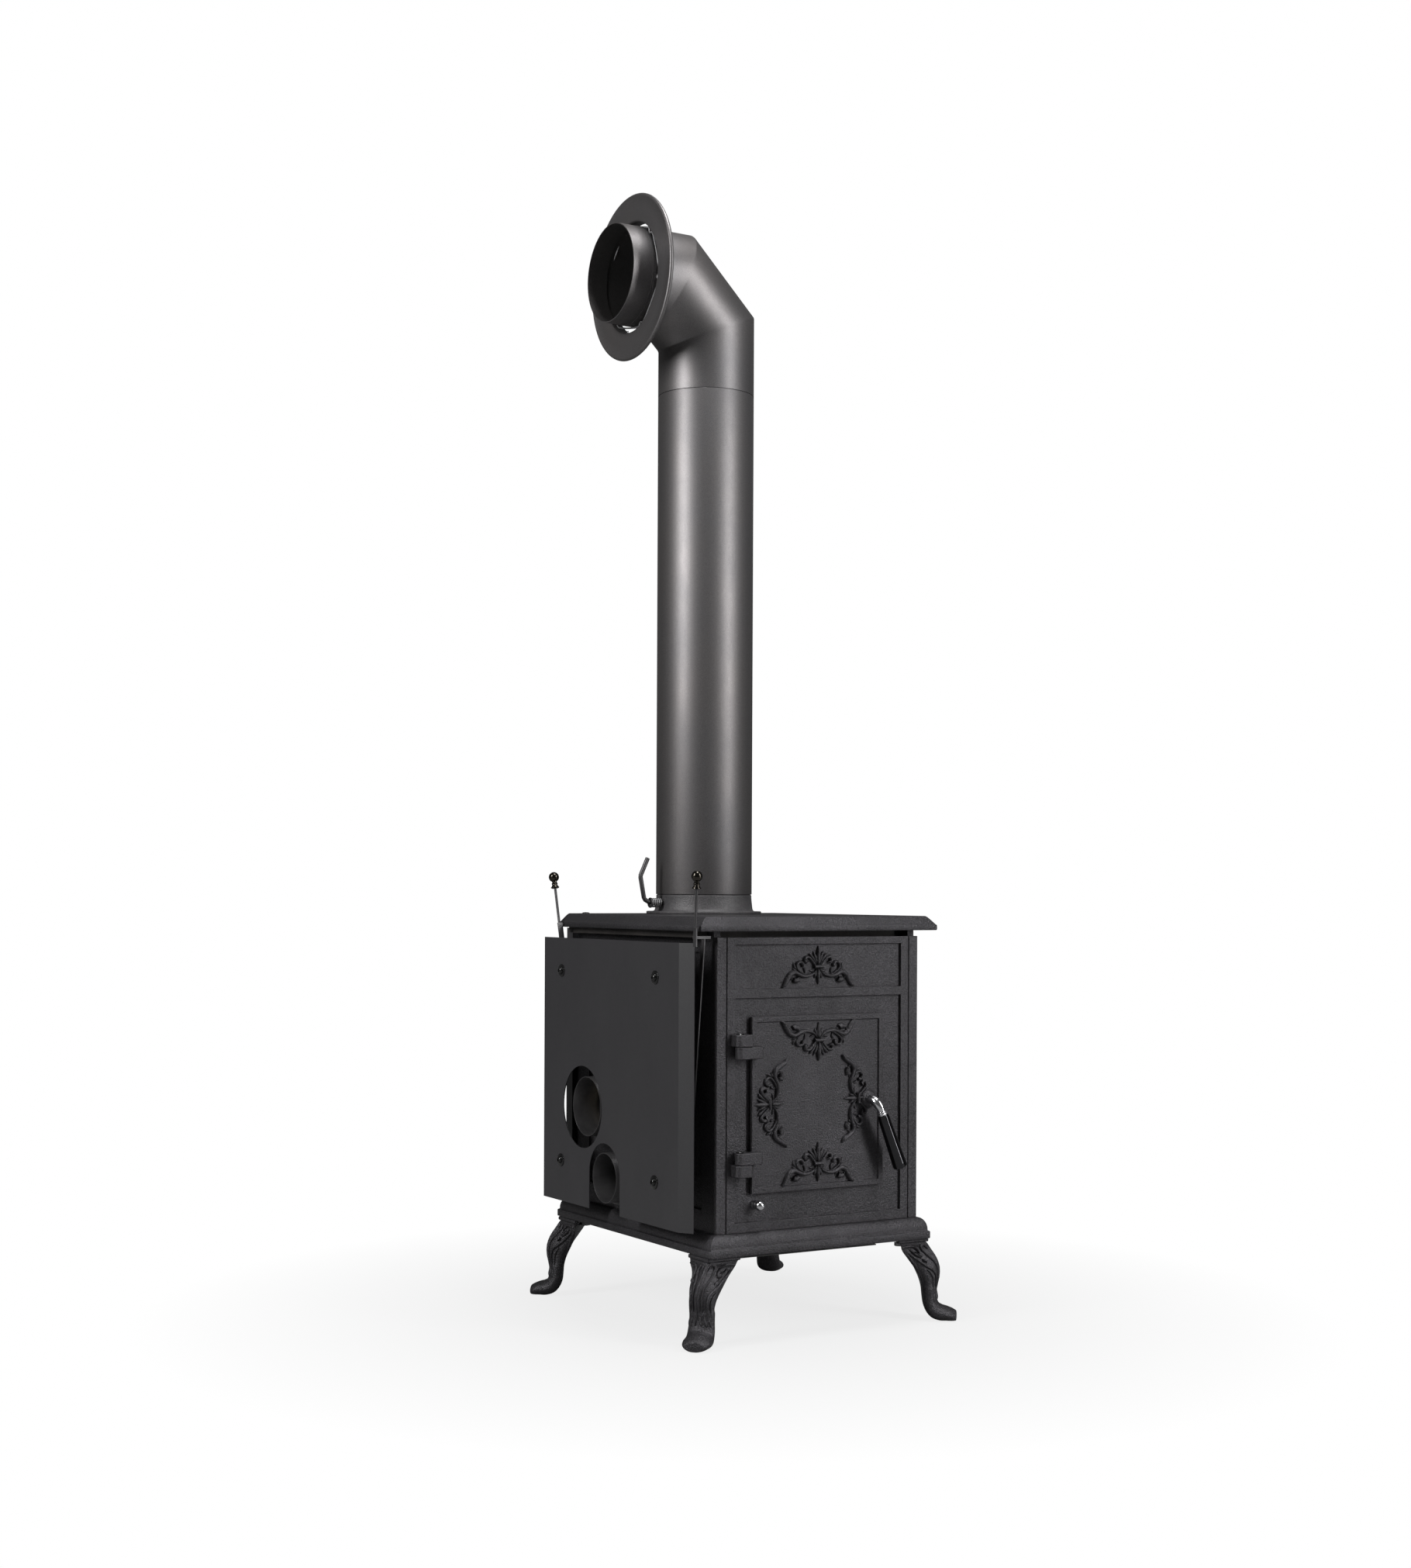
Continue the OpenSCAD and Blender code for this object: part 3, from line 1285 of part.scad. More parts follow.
base_plate();
front_left_leg();
front_right_leg();
rear_left_leg();
rear_right_leg();
leg_bolts();
under_plate();
under_plate_bolts();
left_side_plate();
right_side_plate();
back_plate();
front_plate();
top_plate();
top_plate_screws();
tie_rods();
flue_collar();
flue_collar_bolts();
flue_pipe();
flue_elbow();
wall_rosette();
rosette_spring_ring();
damper_disc();
damper_spindle();
damper_spring();
door();
hinge_pins();
door_liner();
door_liner_bolts();
door_rope_seal();
handle_arm();
handle_ferrule();
handle_grip();
latch_cam();
latch_nut();
air_rod();
air_knob();
air_slide();
hearth_plate();
grate();
ash_pan();
log_guard();
baffle_plate();
side_bricks();
rear_brick();
side_heat_shield();
shield_screws();
shield_washers();
shield_spacers();
rear_heat_shield();
rear_shield_screws();
upper_duct();
lower_duct();
upper_gate_frame();
lower_gate_frame();
upper_gate();
lower_gate();
upper_gate_rod();
lower_gate_rod();
upper_gate_knob();
lower_gate_knob();
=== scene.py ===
# %% [markdown]
# # A cast-iron box stove
#
# The stove is a box of sand-cast plates on four cabriole legs, with a steel flue pipe that turns
# through a mitred elbow into a wall rosette. A sheet heat shield hangs on the left side, and two
# air ducts look out through it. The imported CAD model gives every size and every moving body. This
# script dresses that model: it swaps the plain solids for castings with rounded edges, carved
# legs and palmette ornaments, and gives each surface its finish.

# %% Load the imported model
import json
import math

import bmesh
import bpy
from mathutils import Matrix, Vector

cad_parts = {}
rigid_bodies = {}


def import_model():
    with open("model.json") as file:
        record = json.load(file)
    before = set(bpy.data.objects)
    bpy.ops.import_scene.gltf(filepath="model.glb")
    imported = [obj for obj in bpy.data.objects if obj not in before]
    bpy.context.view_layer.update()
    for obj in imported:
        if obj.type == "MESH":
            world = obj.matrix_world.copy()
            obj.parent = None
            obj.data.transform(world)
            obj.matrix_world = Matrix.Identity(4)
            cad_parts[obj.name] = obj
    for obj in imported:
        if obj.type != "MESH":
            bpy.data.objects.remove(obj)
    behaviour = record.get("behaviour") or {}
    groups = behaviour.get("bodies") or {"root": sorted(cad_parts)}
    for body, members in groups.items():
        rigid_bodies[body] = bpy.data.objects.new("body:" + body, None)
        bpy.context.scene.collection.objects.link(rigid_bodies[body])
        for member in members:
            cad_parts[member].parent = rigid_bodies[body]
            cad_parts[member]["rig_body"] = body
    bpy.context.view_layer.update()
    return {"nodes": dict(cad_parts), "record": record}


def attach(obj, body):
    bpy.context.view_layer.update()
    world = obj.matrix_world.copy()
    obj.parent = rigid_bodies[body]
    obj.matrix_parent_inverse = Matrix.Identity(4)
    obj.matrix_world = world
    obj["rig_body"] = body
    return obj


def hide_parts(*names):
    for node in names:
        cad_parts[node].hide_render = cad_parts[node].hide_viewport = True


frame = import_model()
nodes = frame["nodes"]
MM = 0.001


def placed(name, data):
    """A new object in the scene."""
    obj = bpy.data.objects.new(name, data)
    bpy.context.scene.collection.objects.link(obj)
    return obj


# %% [markdown]
# ## The camera
#
# The photograph is taken from the stove's front left, at about the height of the top plate, with
# the camera level. A level camera keeps the stove's uprights parallel. Instead of tilting, the
# lens is shifted upwards a little, as an architect's camera does. The camera was also turned by a
# quarter of a degree about its line of sight, so the uprights lean a trifle to the right.

# %% Place the camera
PHOTO_W, PHOTO_H = 1820, 2022                     # pixels, like the three numbers below
FOCAL, CENTRE_X, CENTRE_Y = 2772.6, 909.4, 1148.6
SENSOR = 36                                       # the sensor's height in millimetres
HEADING, LEAN = -30.9, 0.25                       # degrees about the upright and the line of sight

camera_data = bpy.data.cameras.new("camera")
camera_data.sensor_fit = "VERTICAL"
camera_data.sensor_height = SENSOR
camera_data.lens = FOCAL / PHOTO_H * SENSOR
camera_data.shift_x = (PHOTO_W / 2 - CENTRE_X) / PHOTO_H
camera_data.shift_y = (CENTRE_Y - PHOTO_H / 2) / PHOTO_H
camera_data.clip_end = 50
camera = placed("camera", camera_data)
camera.location = (-1.7293, -2.7872, 0.634)
aim = (Matrix.Rotation(math.radians(HEADING), 3, "Z") @ Matrix.Rotation(math.radians(90), 3, "X")
       @ Matrix.Rotation(math.radians(LEAN), 3, "Z"))
camera.rotation_euler = aim.to_euler()
bpy.context.scene.camera = camera
bpy.context.scene.view_settings.view_transform = "Standard"
print("lens", round(camera_data.lens, 2), "mm, shift", round(camera_data.shift_y, 4))

# %% [markdown]
# ## Studio light
#
# Black iron shows its form by what it reflects. Two tall soft boxes draw the two upright bands of
# light on the flue pipe: one far round on the left, the other at the right. Two low, thin boxes
# give the glossy grip and the chrome their streaks, and a small box overhead opens up the
# mouldings. The world is white to the camera but lights the stove only weakly, so the hollows stay
# dark, and the floor keeps a soft shadow under the stove and turns white further out.


# %% Lamps, world and floor
def soft_box(name, azimuth, distance, height, width, tall, power, aim_z):
    """An area lamp on a circle round the stove, turned towards its axis."""
    data = bpy.data.lights.new(name, "AREA")
    data.shape = "RECTANGLE"
    data.size, data.size_y = width, tall
    data.energy = power
    lamp = placed(name, data)
    a = math.radians(azimuth)
    lamp.location = (distance * math.cos(a), distance * math.sin(a), height)
    towards = Vector((0, 0, aim_z)) - lamp.location
    lamp.rotation_euler = towards.to_track_quat("-Z", "Y").to_euler()


soft_box("left_box", 184, 2.5, 1.9, 0.4, 1.6, 58, 1.0)
soft_box("right_box", 298, 2.5, 1.82, 0.45, 1.76, 42, 1.0)
soft_box("right_strip", 300, 1.7, 0.5, 0.1, 0.95, 5.0, 0.4)
soft_box("left_strip", 172, 1.7, 0.5, 0.06, 0.95, 1.0, 0.4)
soft_box("top_box", 275, 0.55, 3.3, 0.9, 0.9, 52, 0.3)


def add(tree, kind, inputs=None, **settings):
    """A new node. Each of its inputs gets a value, or the output socket that feeds it."""
    node = tree.nodes.new(kind)
    for key, value in settings.items():
        setattr(node, key, value)
    for key, value in (inputs or {}).items():
        if isinstance(value, bpy.types.NodeSocket):
            tree.links.new(value, node.inputs[key])
        else:
            node.inputs[key].default_value = value
    return node


SKY, SKY_IN_GLOSS = 0.05, 0.03          # strength of the world, and what mirroring rays see on top
FLOOR_GREY = 0.3
FADE_FROM, FADE_TO, FLOOR_SHARE = 0.25, 0.9, 0.8    # metres from the middle, white share at the stove

world = bpy.data.worlds.new("studio")
bpy.context.scene.world = world
world.use_nodes = True
tree = world.node_tree
tree.nodes.clear()
path = add(tree, "ShaderNodeLightPath")
seen = add(tree, "ShaderNodeMath", {0: path.outputs["Is Glossy Ray"], 1: SKY_IN_GLOSS, 2: SKY},
           operation="MULTIPLY_ADD")
whole = add(tree, "ShaderNodeMath", {0: path.outputs["Is Camera Ray"], 1: seen.outputs[0]},
            operation="MAXIMUM")
sky = add(tree, "ShaderNodeBackground", {"Color": (1, 1, 1, 1), "Strength": whole.outputs[0]})
add(tree, "ShaderNodeOutputWorld", {0: sky.outputs[0]})

bpy.ops.mesh.primitive_plane_add(size=14, location=(0, 0, -0.0005))
floor = bpy.context.object
floor.name = "floor"
floor_mat = bpy.data.materials.new("pale_floor")
floor_mat.use_nodes = True
tree = floor_mat.node_tree
tree.nodes.clear()
coord = add(tree, "ShaderNodeTexCoord")
reach = add(tree, "ShaderNodeVectorMath", {0: coord.outputs["Object"]}, operation="LENGTH")
fading = add(tree, "ShaderNodeMapRange", {
    "Value": reach.outputs["Value"], "From Min": FADE_FROM, "From Max": FADE_TO,
    "To Min": FLOOR_SHARE, "To Max": 1.0})
path = add(tree, "ShaderNodeLightPath")
share = add(tree, "ShaderNodeMath", {0: path.outputs["Is Camera Ray"], 1: fading.outputs[0]},
            operation="MULTIPLY")
matt = add(tree, "ShaderNodeBsdfDiffuse", {"Color": (FLOOR_GREY, FLOOR_GREY, FLOOR_GREY, 1)})
glow = add(tree, "ShaderNodeEmission")
mix = add(tree, "ShaderNodeMixShader", {0: share.outputs[0], 1: matt.outputs[0], 2: glow.outputs[0]})
add(tree, "ShaderNodeOutputMaterial", {0: mix.outputs[0]})
floor.data.materials.append(floor_mat)

# %% [markdown]
# ## Finishes
#
# Sand casting leaves a fine, even grain, so the iron's highlights are broken into specks. Rolled
# sheet and the flue pipe are smooth, with slow, cloudy changes of sheen where the paint was baked
# or a hand has rubbed it. The grain and the clouds are two node groups that every material uses
# with its own values.


# %% Shared effects as node groups
def new_group(name, kind, inputs, outputs):
    """An empty node group and its inputs. An input is a number, or the name of its socket's type."""
    group = bpy.data.node_groups.new(name, kind)
    for label, value in inputs.items():
        typed = value if isinstance(value, str) else "Float"
        socket = group.interface.new_socket(name=label, in_out="INPUT", socket_type="NodeSocket" + typed)
        if typed == "Float":
            socket.default_value = value
    for label, typed in outputs.items():
        group.interface.new_socket(name=label, in_out="OUTPUT", socket_type="NodeSocket" + typed)
    return group, group.nodes.new("NodeGroupInput").outputs


def cast_grain_group():
    """Grain of a sand mould: a height for Bump, and a mask of small pits."""
    group, given = new_group("cast_grain", "ShaderNodeTree",
                             {"Grains per metre": 900.0, "Lumps per metre": 60.0},
                             {"Height": "Float", "Pits": "Float"})
    place = add(group, "ShaderNodeTexCoord").outputs["Object"]
    fine = add(group, "ShaderNodeTexNoise", {
        "Vector": place, "Scale": given["Grains per metre"], "Detail": 3.0, "Roughness": 0.6})
    lumps = add(group, "ShaderNodeTexNoise", {
        "Vector": place, "Scale": given["Lumps per metre"], "Detail": 2.0})
    both = add(group, "ShaderNodeMath", {0: lumps.outputs["Fac"], 1: 0.5, 2: fine.outputs["Fac"]},
               operation="MULTIPLY_ADD")
    pits = add(group, "ShaderNodeMapRange", {
        "Value": fine.outputs["Fac"], "From Min": 0.38, "From Max": 0.62})
    add(group, "NodeGroupOutput", {"Height": both.outputs[0], "Pits": pits.outputs[0]})
    return group


def clouds_group():
    """Slow clouds of wear or baked paint, from 0 to 1."""
    group, given = new_group("sheen_clouds", "ShaderNodeTree",
                             {"Clouds per metre": 9.0, "Streak": 0.35}, {"Clouds": "Float"})
    place = add(group, "ShaderNodeTexCoord").outputs["Object"]
    stretch = add(group, "ShaderNodeCombineXYZ", {"X": 1.0, "Y": 1.0, "Z": given["Streak"]})
    scaled = add(group, "ShaderNodeVectorMath", {0: place, 1: stretch.outputs[0]}, operation="MULTIPLY")
    noise = add(group, "ShaderNodeTexNoise", {
        "Vector": scaled.outputs[0], "Scale": given["Clouds per metre"], "Detail": 4.0, "Roughness": 0.62})
    clear = add(group, "ShaderNodeMapRange", {
        "Value": noise.outputs["Fac"], "From Min": 0.35, "From Max": 0.68})
    add(group, "NodeGroupOutput", {"Clouds": clear.outputs[0]})
    return group


GRAIN = cast_grain_group()
CLOUDS = clouds_group()
print("groups:", GRAIN.name, CLOUDS.name)


# %% A material from its two effects
SPECKS = 0.35       # how far the pits darken a casting
BUMP_DEPTH = 0.001  # metres


def finish(name, dark, light, rough, grain=None, clouds=(9.0, 0.35), metal=0.0, bump=0.0):
    """Colour runs from dark to light with the clouds, roughness between the two values given."""
    mat = bpy.data.materials.new(name)
    mat.use_nodes = True
    tree = mat.node_tree
    surface = tree.nodes["Principled BSDF"].inputs
    surface["Metallic"].default_value = metal
    slow = add(tree, "ShaderNodeGroup", {"Clouds per metre": clouds[0], "Streak": clouds[1]},
               node_tree=CLOUDS).outputs["Clouds"]
    colour = add(tree, "ShaderNodeMix", {"A": (*dark, 1), "B": (*light, 1), "Factor": slow},
                 data_type="RGBA").outputs["Result"]
    sheen = add(tree, "ShaderNodeMapRange", {"Value": slow, "To Min": rough[0], "To Max": rough[1]})
    tree.links.new(sheen.outputs[0], surface["Roughness"])
    if grain:
        sand = add(tree, "ShaderNodeGroup", {"Grains per metre": grain[0], "Lumps per metre": grain[1]},
                   node_tree=GRAIN).outputs
        colour = add(tree, "ShaderNodeMix", {"Factor": SPECKS, "A": colour, "B": sand["Pits"]},
                     data_type="RGBA", blend_type="MULTIPLY").outputs["Result"]
        relief = add(tree, "ShaderNodeBump", {
            "Distance": BUMP_DEPTH, "Strength": bump, "Height": sand["Height"]})
        tree.links.new(relief.outputs[0], surface["Normal"])
    tree.links.new(colour, surface["Base Color"])
    return mat


# Dark and light colour, the two roughnesses, and what else sets the finish apart
LOOKS = {
    "black_cast_iron": ((0.056, 0.054, 0.058), (0.076, 0.073, 0.079), (0.47, 0.41),
                        dict(grain=(450, 70), bump=1.3, clouds=(7, 0.8), metal=0.75)),
    "firebox_iron": ((0.030, 0.027, 0.026), (0.060, 0.054, 0.050), (0.75, 0.62),
                     dict(grain=(700, 60), bump=0.4, clouds=(11, 0.8))),
    "flue_collar_iron": ((0.050, 0.048, 0.051), (0.085, 0.081, 0.084), (0.5, 0.38),
                         dict(grain=(520, 70), bump=0.7, clouds=(30, 0.9))),
    "flue_paint": ((0.175, 0.170, 0.174), (0.225, 0.212, 0.210), (0.48, 0.43),
                   dict(grain=(1500, 30), bump=0.06, clouds=(8, 0.45), metal=0.9)),
    "shield_sheet": ((0.034, 0.033, 0.036), (0.042, 0.041, 0.044), (0.50, 0.44),
                     dict(grain=(1500, 30), bump=0.05, clouds=(6, 0.7))),
    "steel_fixings": ((0.22, 0.22, 0.225), (0.36, 0.36, 0.365), (0.5, 0.42),
                      dict(clouds=(60, 1), metal=0.55)),
    "black_fixings": ((0.004, 0.004, 0.004), (0.007, 0.007, 0.007), (0.24, 0.18), dict(clouds=(60, 1))),
    "dark_steel": ((0.045, 0.044, 0.046), (0.085, 0.083, 0.085), (0.45, 0.35),
                   dict(clouds=(30, 0.5), metal=0.5)),
    "chrome_fittings": ((0.60, 0.60, 0.62), (0.72, 0.72, 0.74), (0.22, 0.16),
                        dict(clouds=(40, 1), metal=1.0)),
    "black_nickel": ((0.040, 0.036, 0.031), (0.065, 0.059, 0.050), (0.20, 0.16),
                     dict(clouds=(60, 1), metal=1.0)),
    "gloss_grip": ((0.04, 0.04, 0.043), (0.05, 0.05, 0.053), (0.09, 0.07),
                   dict(clouds=(30, 0.3), metal=1.0)),
    "firebrick": ((0.46, 0.37, 0.25), (0.68, 0.59, 0.44), (0.95, 0.88),
                  dict(grain=(500, 45), bump=0.5, clouds=(14, 1))),
    "seal_rope": ((0.42, 0.41, 0.37), (0.62, 0.60, 0.55), (0.95, 0.9),
                  dict(grain=(900, 120), bump=0.9, clouds=(60, 1))),
}
FINISH = {name: finish(name, dark, light, rough, **rest)
          for name, (dark, light, rough, rest) in LOOKS.items()}
slot_of = {p["node"]: p["material_slot"] for p in frame["record"]["subparts"]}
for name, node in nodes.items():
    for i in range(len(node.material_slots)):
        node.material_slots[i].material = FINISH[slot_of[name]]
print("finishes:", len(FINISH))

# %% [markdown]
# ## Tools for making castings
#
# A casting has no knife-sharp edges, because the sand can't hold them. So most pieces are built
# as a plain solid first, in millimetres, and then get a small bevel on every edge. Turned pieces
# are a profile spun round an axis, and rods and tubes are a circle carried along a path.


# %% From lists of points to a finished piece
def reworked(mesh, weld=0.0, outwards=False, join_flats=False):
    """Welds points closer than weld, turns the faces outwards, joins up flat faces."""
    bm = bmesh.new()
    bm.from_mesh(mesh)
    if weld:
        bmesh.ops.remove_doubles(bm, verts=bm.verts, dist=weld)
    if outwards:
        bmesh.ops.recalc_face_normals(bm, faces=bm.faces)
    if join_flats:
        bmesh.ops.dissolve_limit(bm, angle_limit=math.radians(1), verts=bm.verts, edges=bm.edges)
    bm.to_mesh(mesh)
    bm.free()
    return mesh


def new_mesh(name, shape):
    """A mesh from points in millimetres and their faces."""
    mesh = bpy.data.meshes.new(name)
    mesh.from_pydata([Vector(v) * MM for v in shape[0]], [], shape[1])
    return mesh


def dress(name, mesh, body, slot, stands_for=(), smooth=40):
    """A mesh becomes a piece that rides on a body and wears a finish."""
    mesh.materials.clear()
    mesh.materials.append(FINISH[slot])
    mesh.shade_smooth()
    mesh.set_sharp_from_angle(angle=math.radians(smooth))
    obj = placed(name, mesh)
    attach(obj, body)
    if stands_for:
        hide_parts(*stands_for)
    return obj


def piece(name, slot, shape, stands_for=(), smooth=40, body="stove_body"):
    """A piece straight from its shape: a list of points and a list of faces."""
    mesh = reworked(new_mesh(name, shape), 1e-6, outwards=True)
    return dress(name, mesh, body, slot, stands_for, smooth)


def evaluated(obj):
    """The object's mesh with its modifiers applied."""
    return bpy.data.meshes.new_from_object(obj.evaluated_get(bpy.context.evaluated_depsgraph_get()))


def bevelled(obj, width, segments=3):
    """Rounds the edges of a piece for good, and evens its normals so that flats stay flat."""
    bevel = obj.modifiers.new("bevel", "BEVEL")
    bevel.width = width * MM
    bevel.segments = segments
    bevel.limit_method = "ANGLE"
    bevel.angle_limit = math.radians(28)
    obj.modifiers.new("even", "WEIGHTED_NORMAL").keep_sharp = True
    old, new = obj.data, evaluated(obj)
    obj.modifiers.clear()
    obj.data = new
    bpy.data.meshes.remove(old)


def soften(node, width):
    """A copy of a CAD node with its flat faces joined up and its edges rounded."""
    mesh = reworked(nodes[node].data.copy(), 1e-5, join_flats=True)
    bevelled(dress(f"soft_{node}", mesh, nodes[node]["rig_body"], slot_of[node], [node], 32), width, 2)


# %% Turned pieces, tubes and blocks
def loft(rings, closed=False, caps=False):
    """Joins rings of points by faces. A ring of one point closes to a tip."""
    numbers, count = [], 0
    for ring in rings:
        numbers.append(range(count, count + len(ring)))
        count += len(ring)
    faces = []
    for a, b in zip(numbers, numbers[1:] + (numbers[:1] if closed else [])):
        n = max(len(a), len(b))
        for k in range(n):
            quad = [a[k % len(a)], a[(k + 1) % len(a)], b[(k + 1) % len(b)], b[k % len(b)]]
            faces.append(list(dict.fromkeys(quad)))
    faces = [f for f in faces if len(f) > 2]
    if caps:
        faces += [list(numbers[0])[::-1], list(numbers[-1])]
    return [p for ring in rings for p in ring], faces


def circle(middle, across, other, r, sides):
    """Points round a middle, in the plane of two directions. A radius of 0 gives the middle alone."""
    angles = [2 * math.pi * k / sides for k in range(sides if r > 1e-6 else 1)]
    return [middle + (across * math.cos(a) + other * math.sin(a)) * r for a in angles]


def turned(profile, origin=(0, 0, 0), axis=(0, 0, 1), sides=64):
    """Spins (radius, height) points round an axis. A radius of 0 closes to a point."""
    axis = Vector(axis).normalized()
    across = axis.orthogonal().normalized()
    other = axis.cross(across)
    return loft([circle(Vector(origin) + axis * h, across, other, r, sides) for r, h in profile])


def arc(x, y, radius, start, end, steps=5):
    """Points of an arc, in degrees. The radius is a number, or a pair for a stretched arc."""
    rx, ry = radius if isinstance(radius, tuple) else (radius, radius)
    angles = [math.radians(start + (end - start) * i / steps) for i in range(steps + 1)]
    return [(x + rx * math.cos(a), y + ry * math.sin(a)) for a in angles]


def catmull_rom(a, b, c, d, t):
    """A smooth curve's value between b and c."""
    return 0.5 * (2 * b + (c - a) * t + (2 * a - 5 * b + 4 * c - d) * t * t
                  + (3 * b - a - 3 * c + d) * t ** 3)


def smooth_path(points, steps=8):
    """A smooth curve through the points."""
    pts = [Vector(p) for p in points]
    pts = [pts[0] * 2 - pts[1]] + pts + [pts[-1] * 2 - pts[-2]]
    out = [catmull_rom(*pts[i - 1:i + 3], s / steps) for i in range(1, len(pts) - 2) for s in range(steps)]
    return out + [pts[-2]]


def tube(path, radius, sides=16, closed=False):
    """Carries a circle along a path. radius is a number or a function of the share of the way."""
    path = [Vector(p) for p in path]
    n = len(path)
    normal = None
    rings = []
    for i, p in enumerate(path):
        before = path[i - 1] if closed or i else path[0]
        after = path[(i + 1) % n] if closed or i < n - 1 else path[-1]
        along = (after - before).normalized()
        normal = along.orthogonal() if normal is None else normal - along * normal.dot(along)
        normal.normalize()
        r = radius(i / (n - 1)) if callable(radius) else radius
        rings.append(circle(p, normal, along.cross(normal), r, sides))
    return loft(rings, closed, caps=not closed)


def slab(lo, hi):
    """A plain box, as points and faces."""
    x0, y0, z0 = lo
    x1, y1, z1 = hi
    verts = [(x, y, z) for z in (z0, z1) for y in (y0, y1) for x in (x0, x1)]
    return verts, [(0, 2, 3, 1), (4, 5, 7, 6), (0, 1, 5, 4), (2, 6, 7, 3), (0, 4, 6, 2), (1, 3, 7, 5)]


def joined(parts):
    """Puts several (points, faces) together."""
    verts, faces = [], []
    for v, f in parts:
        n = len(verts)
        verts += list(v)
        faces += [[i + n for i in face] for face in f]
    return verts, faces


print("tools ready")

# %% [markdown]
# ## Moulded plates
#
# The base plate and the top plate have a moulding that runs round all four sides and meets in
# mitres. It could be swept along the edge, but a stack of rectangles does it exactly: each point
# of the moulding's outline gives one rectangle, set in by that much at that height.


# %% Base plate and top plate
BASE_X, BASE_Y = 190, 234        # half of the base plate's width and depth
LEG_TOP, DECK = 122, 153         # heights of the legs and of the base plate
BODY_TOP = 577


def moulded_plate(x0, x1, y0, y1, outline, front=1.0, back=1.0, corner=2.0, steps=4):
    """A stack of rounded rectangles, one for each (inset, height) of the outline.
    At the front and the back the inset is scaled by the shares given."""
    rings = []
    for inset, z in outline:
        ring = []
        for sx, sy, a0 in ((1, 1, 0), (-1, 1, 90), (-1, -1, 180), (1, -1, 270)):
            mx = (x1 if sx > 0 else x0) - sx * (inset + corner)
            my = (y1 if sy > 0 else y0) - sy * (inset * (back if sy > 0 else front) + corner)
            ring += [(x, y, z) for x, y in arc(mx, my, corner, a0, a0 + 90, steps)]
        rings.append(ring)
    return loft(rings, caps=True)


base_outline = ([(16, 145), (16, 122.6), (15.2, LEG_TOP), (1.2, LEG_TOP), (0.3, 122.4), (0, 123.2),
                 (0, 131.6), (0.5, 132.6), (2.4, 133.4), (3.0, 134.2)]
                + arc(16, 134.8, (-13, 18.2), 0, 90, 9))
base_parts = [moulded_plate(-BASE_X, BASE_X, -BASE_Y, BASE_Y, base_outline, 0.75, 0.75)]
base_parts += [slab((x, y, 122.3), (x + 45, y + 45, 146)) for x in (-175, 130) for y in (-219, 174)]
piece("cast_base_plate", "black_cast_iron", joined(base_parts), ["base_plate"], 34)

top_outline = [(1.6, BODY_TOP), (0.6, 577.4), (0.1, 578.6), (0, 581.2), (0.2, 583.8), (0.7, 584.9),
               (1.6, 585.5), (2.8, 586.6), (6.4, 590.4), (10, 594), (12.2, 596), (13.8, 597.2),
               (15, 597.8), (16.4, 598)]
piece("cast_top_plate", "black_cast_iron", moulded_plate(-205, 205, -228, 202, top_outline, 0.6, 0.2),
      ["top_plate"], 34)
# The neck wears the darker firebox iron instead of the plate's own black iron: painted shade for the dark
# band in the shadow under the top plate's overhang.
piece("top_plate_neck", "firebox_iron", slab((-189, -192, 568), (187, 199, 577.5)))
print("moulded plates:", len(base_outline), "and", len(top_outline), "rings")

# %% [markdown]
# ## Stepped plates
#
# The front plate and the door are flat castings with sunk panels. Both are made from a plan of
# rectangles: cut lines divide the plate into cells, each cell has its own depth, and a wall
# closes every step between two cells. The bevel then rounds the steps as the mould does.


# %% A plate from a plan of depths
def stepped_plate(xs, zs, depth, back):
    """depth(x, z) gives a cell's front face as a Y value, and the back's own value for a hole."""
    cells = {(i, j): depth((xs[i] + xs[i + 1]) / 2, (zs[j] + zs[j + 1]) / 2)
             for i in range(len(xs) - 1) for j in range(len(zs) - 1)}
    levels = sorted({*cells.values(), back})
    index, faces = {}, []

    def add_face(points):
        faces.append([index.setdefault(p, len(index)) for p in points])

    for (i, j), y in cells.items():
        x0, x1, z0, z1 = xs[i], xs[i + 1], zs[j], zs[j + 1]
        if y != back:
            for face_y in (y, back):
                add_face([(x, face_y, z) for x, z in ((x0, z0), (x1, z0), (x1, z1), (x0, z1))])
            faces[-1].reverse()
        sides = [(1, 0, (x1, z0), (x1, z1)), (0, 1, (x0, z1), (x1, z1))]
        sides += [(-1, 0, (x0, z0), (x0, z1))] * (i == 0) + [(0, -1, (x0, z0), (x1, z0))] * (j == 0)
        for di, dj, a, b in sides:
            # a wall between the depths of two neighbours, cut at every level it crosses
            low, high = sorted((y, cells.get((i + di, j + dj), back)))
            cuts = [v for v in levels if low <= v <= high]
            for y0, y1 in zip(cuts, cuts[1:]):
                add_face([(a[0], y0, a[1]), (b[0], y0, b[1]), (b[0], y1, b[1]), (a[0], y1, a[1])])
    return list(index), faces


def cast_plate(name, body, plan, stands_for, width=0.9):
    """Joins the plan's cells into clean faces, then rounds every edge."""
    obj = piece(name, "black_cast_iron", plan, stands_for, 180, body=body)
    reworked(obj.data, join_flats=True)
    bevelled(obj, width)


def inside(x, z, x0, x1, z0, z1):
    return x0 < x < x1 and z0 < z < z1


# Y of the front plate's border, sunk panels and back, and of the door's rim, panel and back
FRONT, PANEL, FRONT_BACK = -221, -217, -211
DOOR_RIM, DOOR_PANEL, DOOR_BACK = -225, -222.5, -217.5


def front_depth(x, z):
    if inside(x, z, -104, 96, 219.5, 443.5):
        return FRONT_BACK
    if inside(x, z, -143, 143, 167, 482.5) or inside(x, z, -143, 143, 495, 558):
        return PANEL
    if 156.4 < abs(x) < 157.8:
        return -219.4
    return FRONT


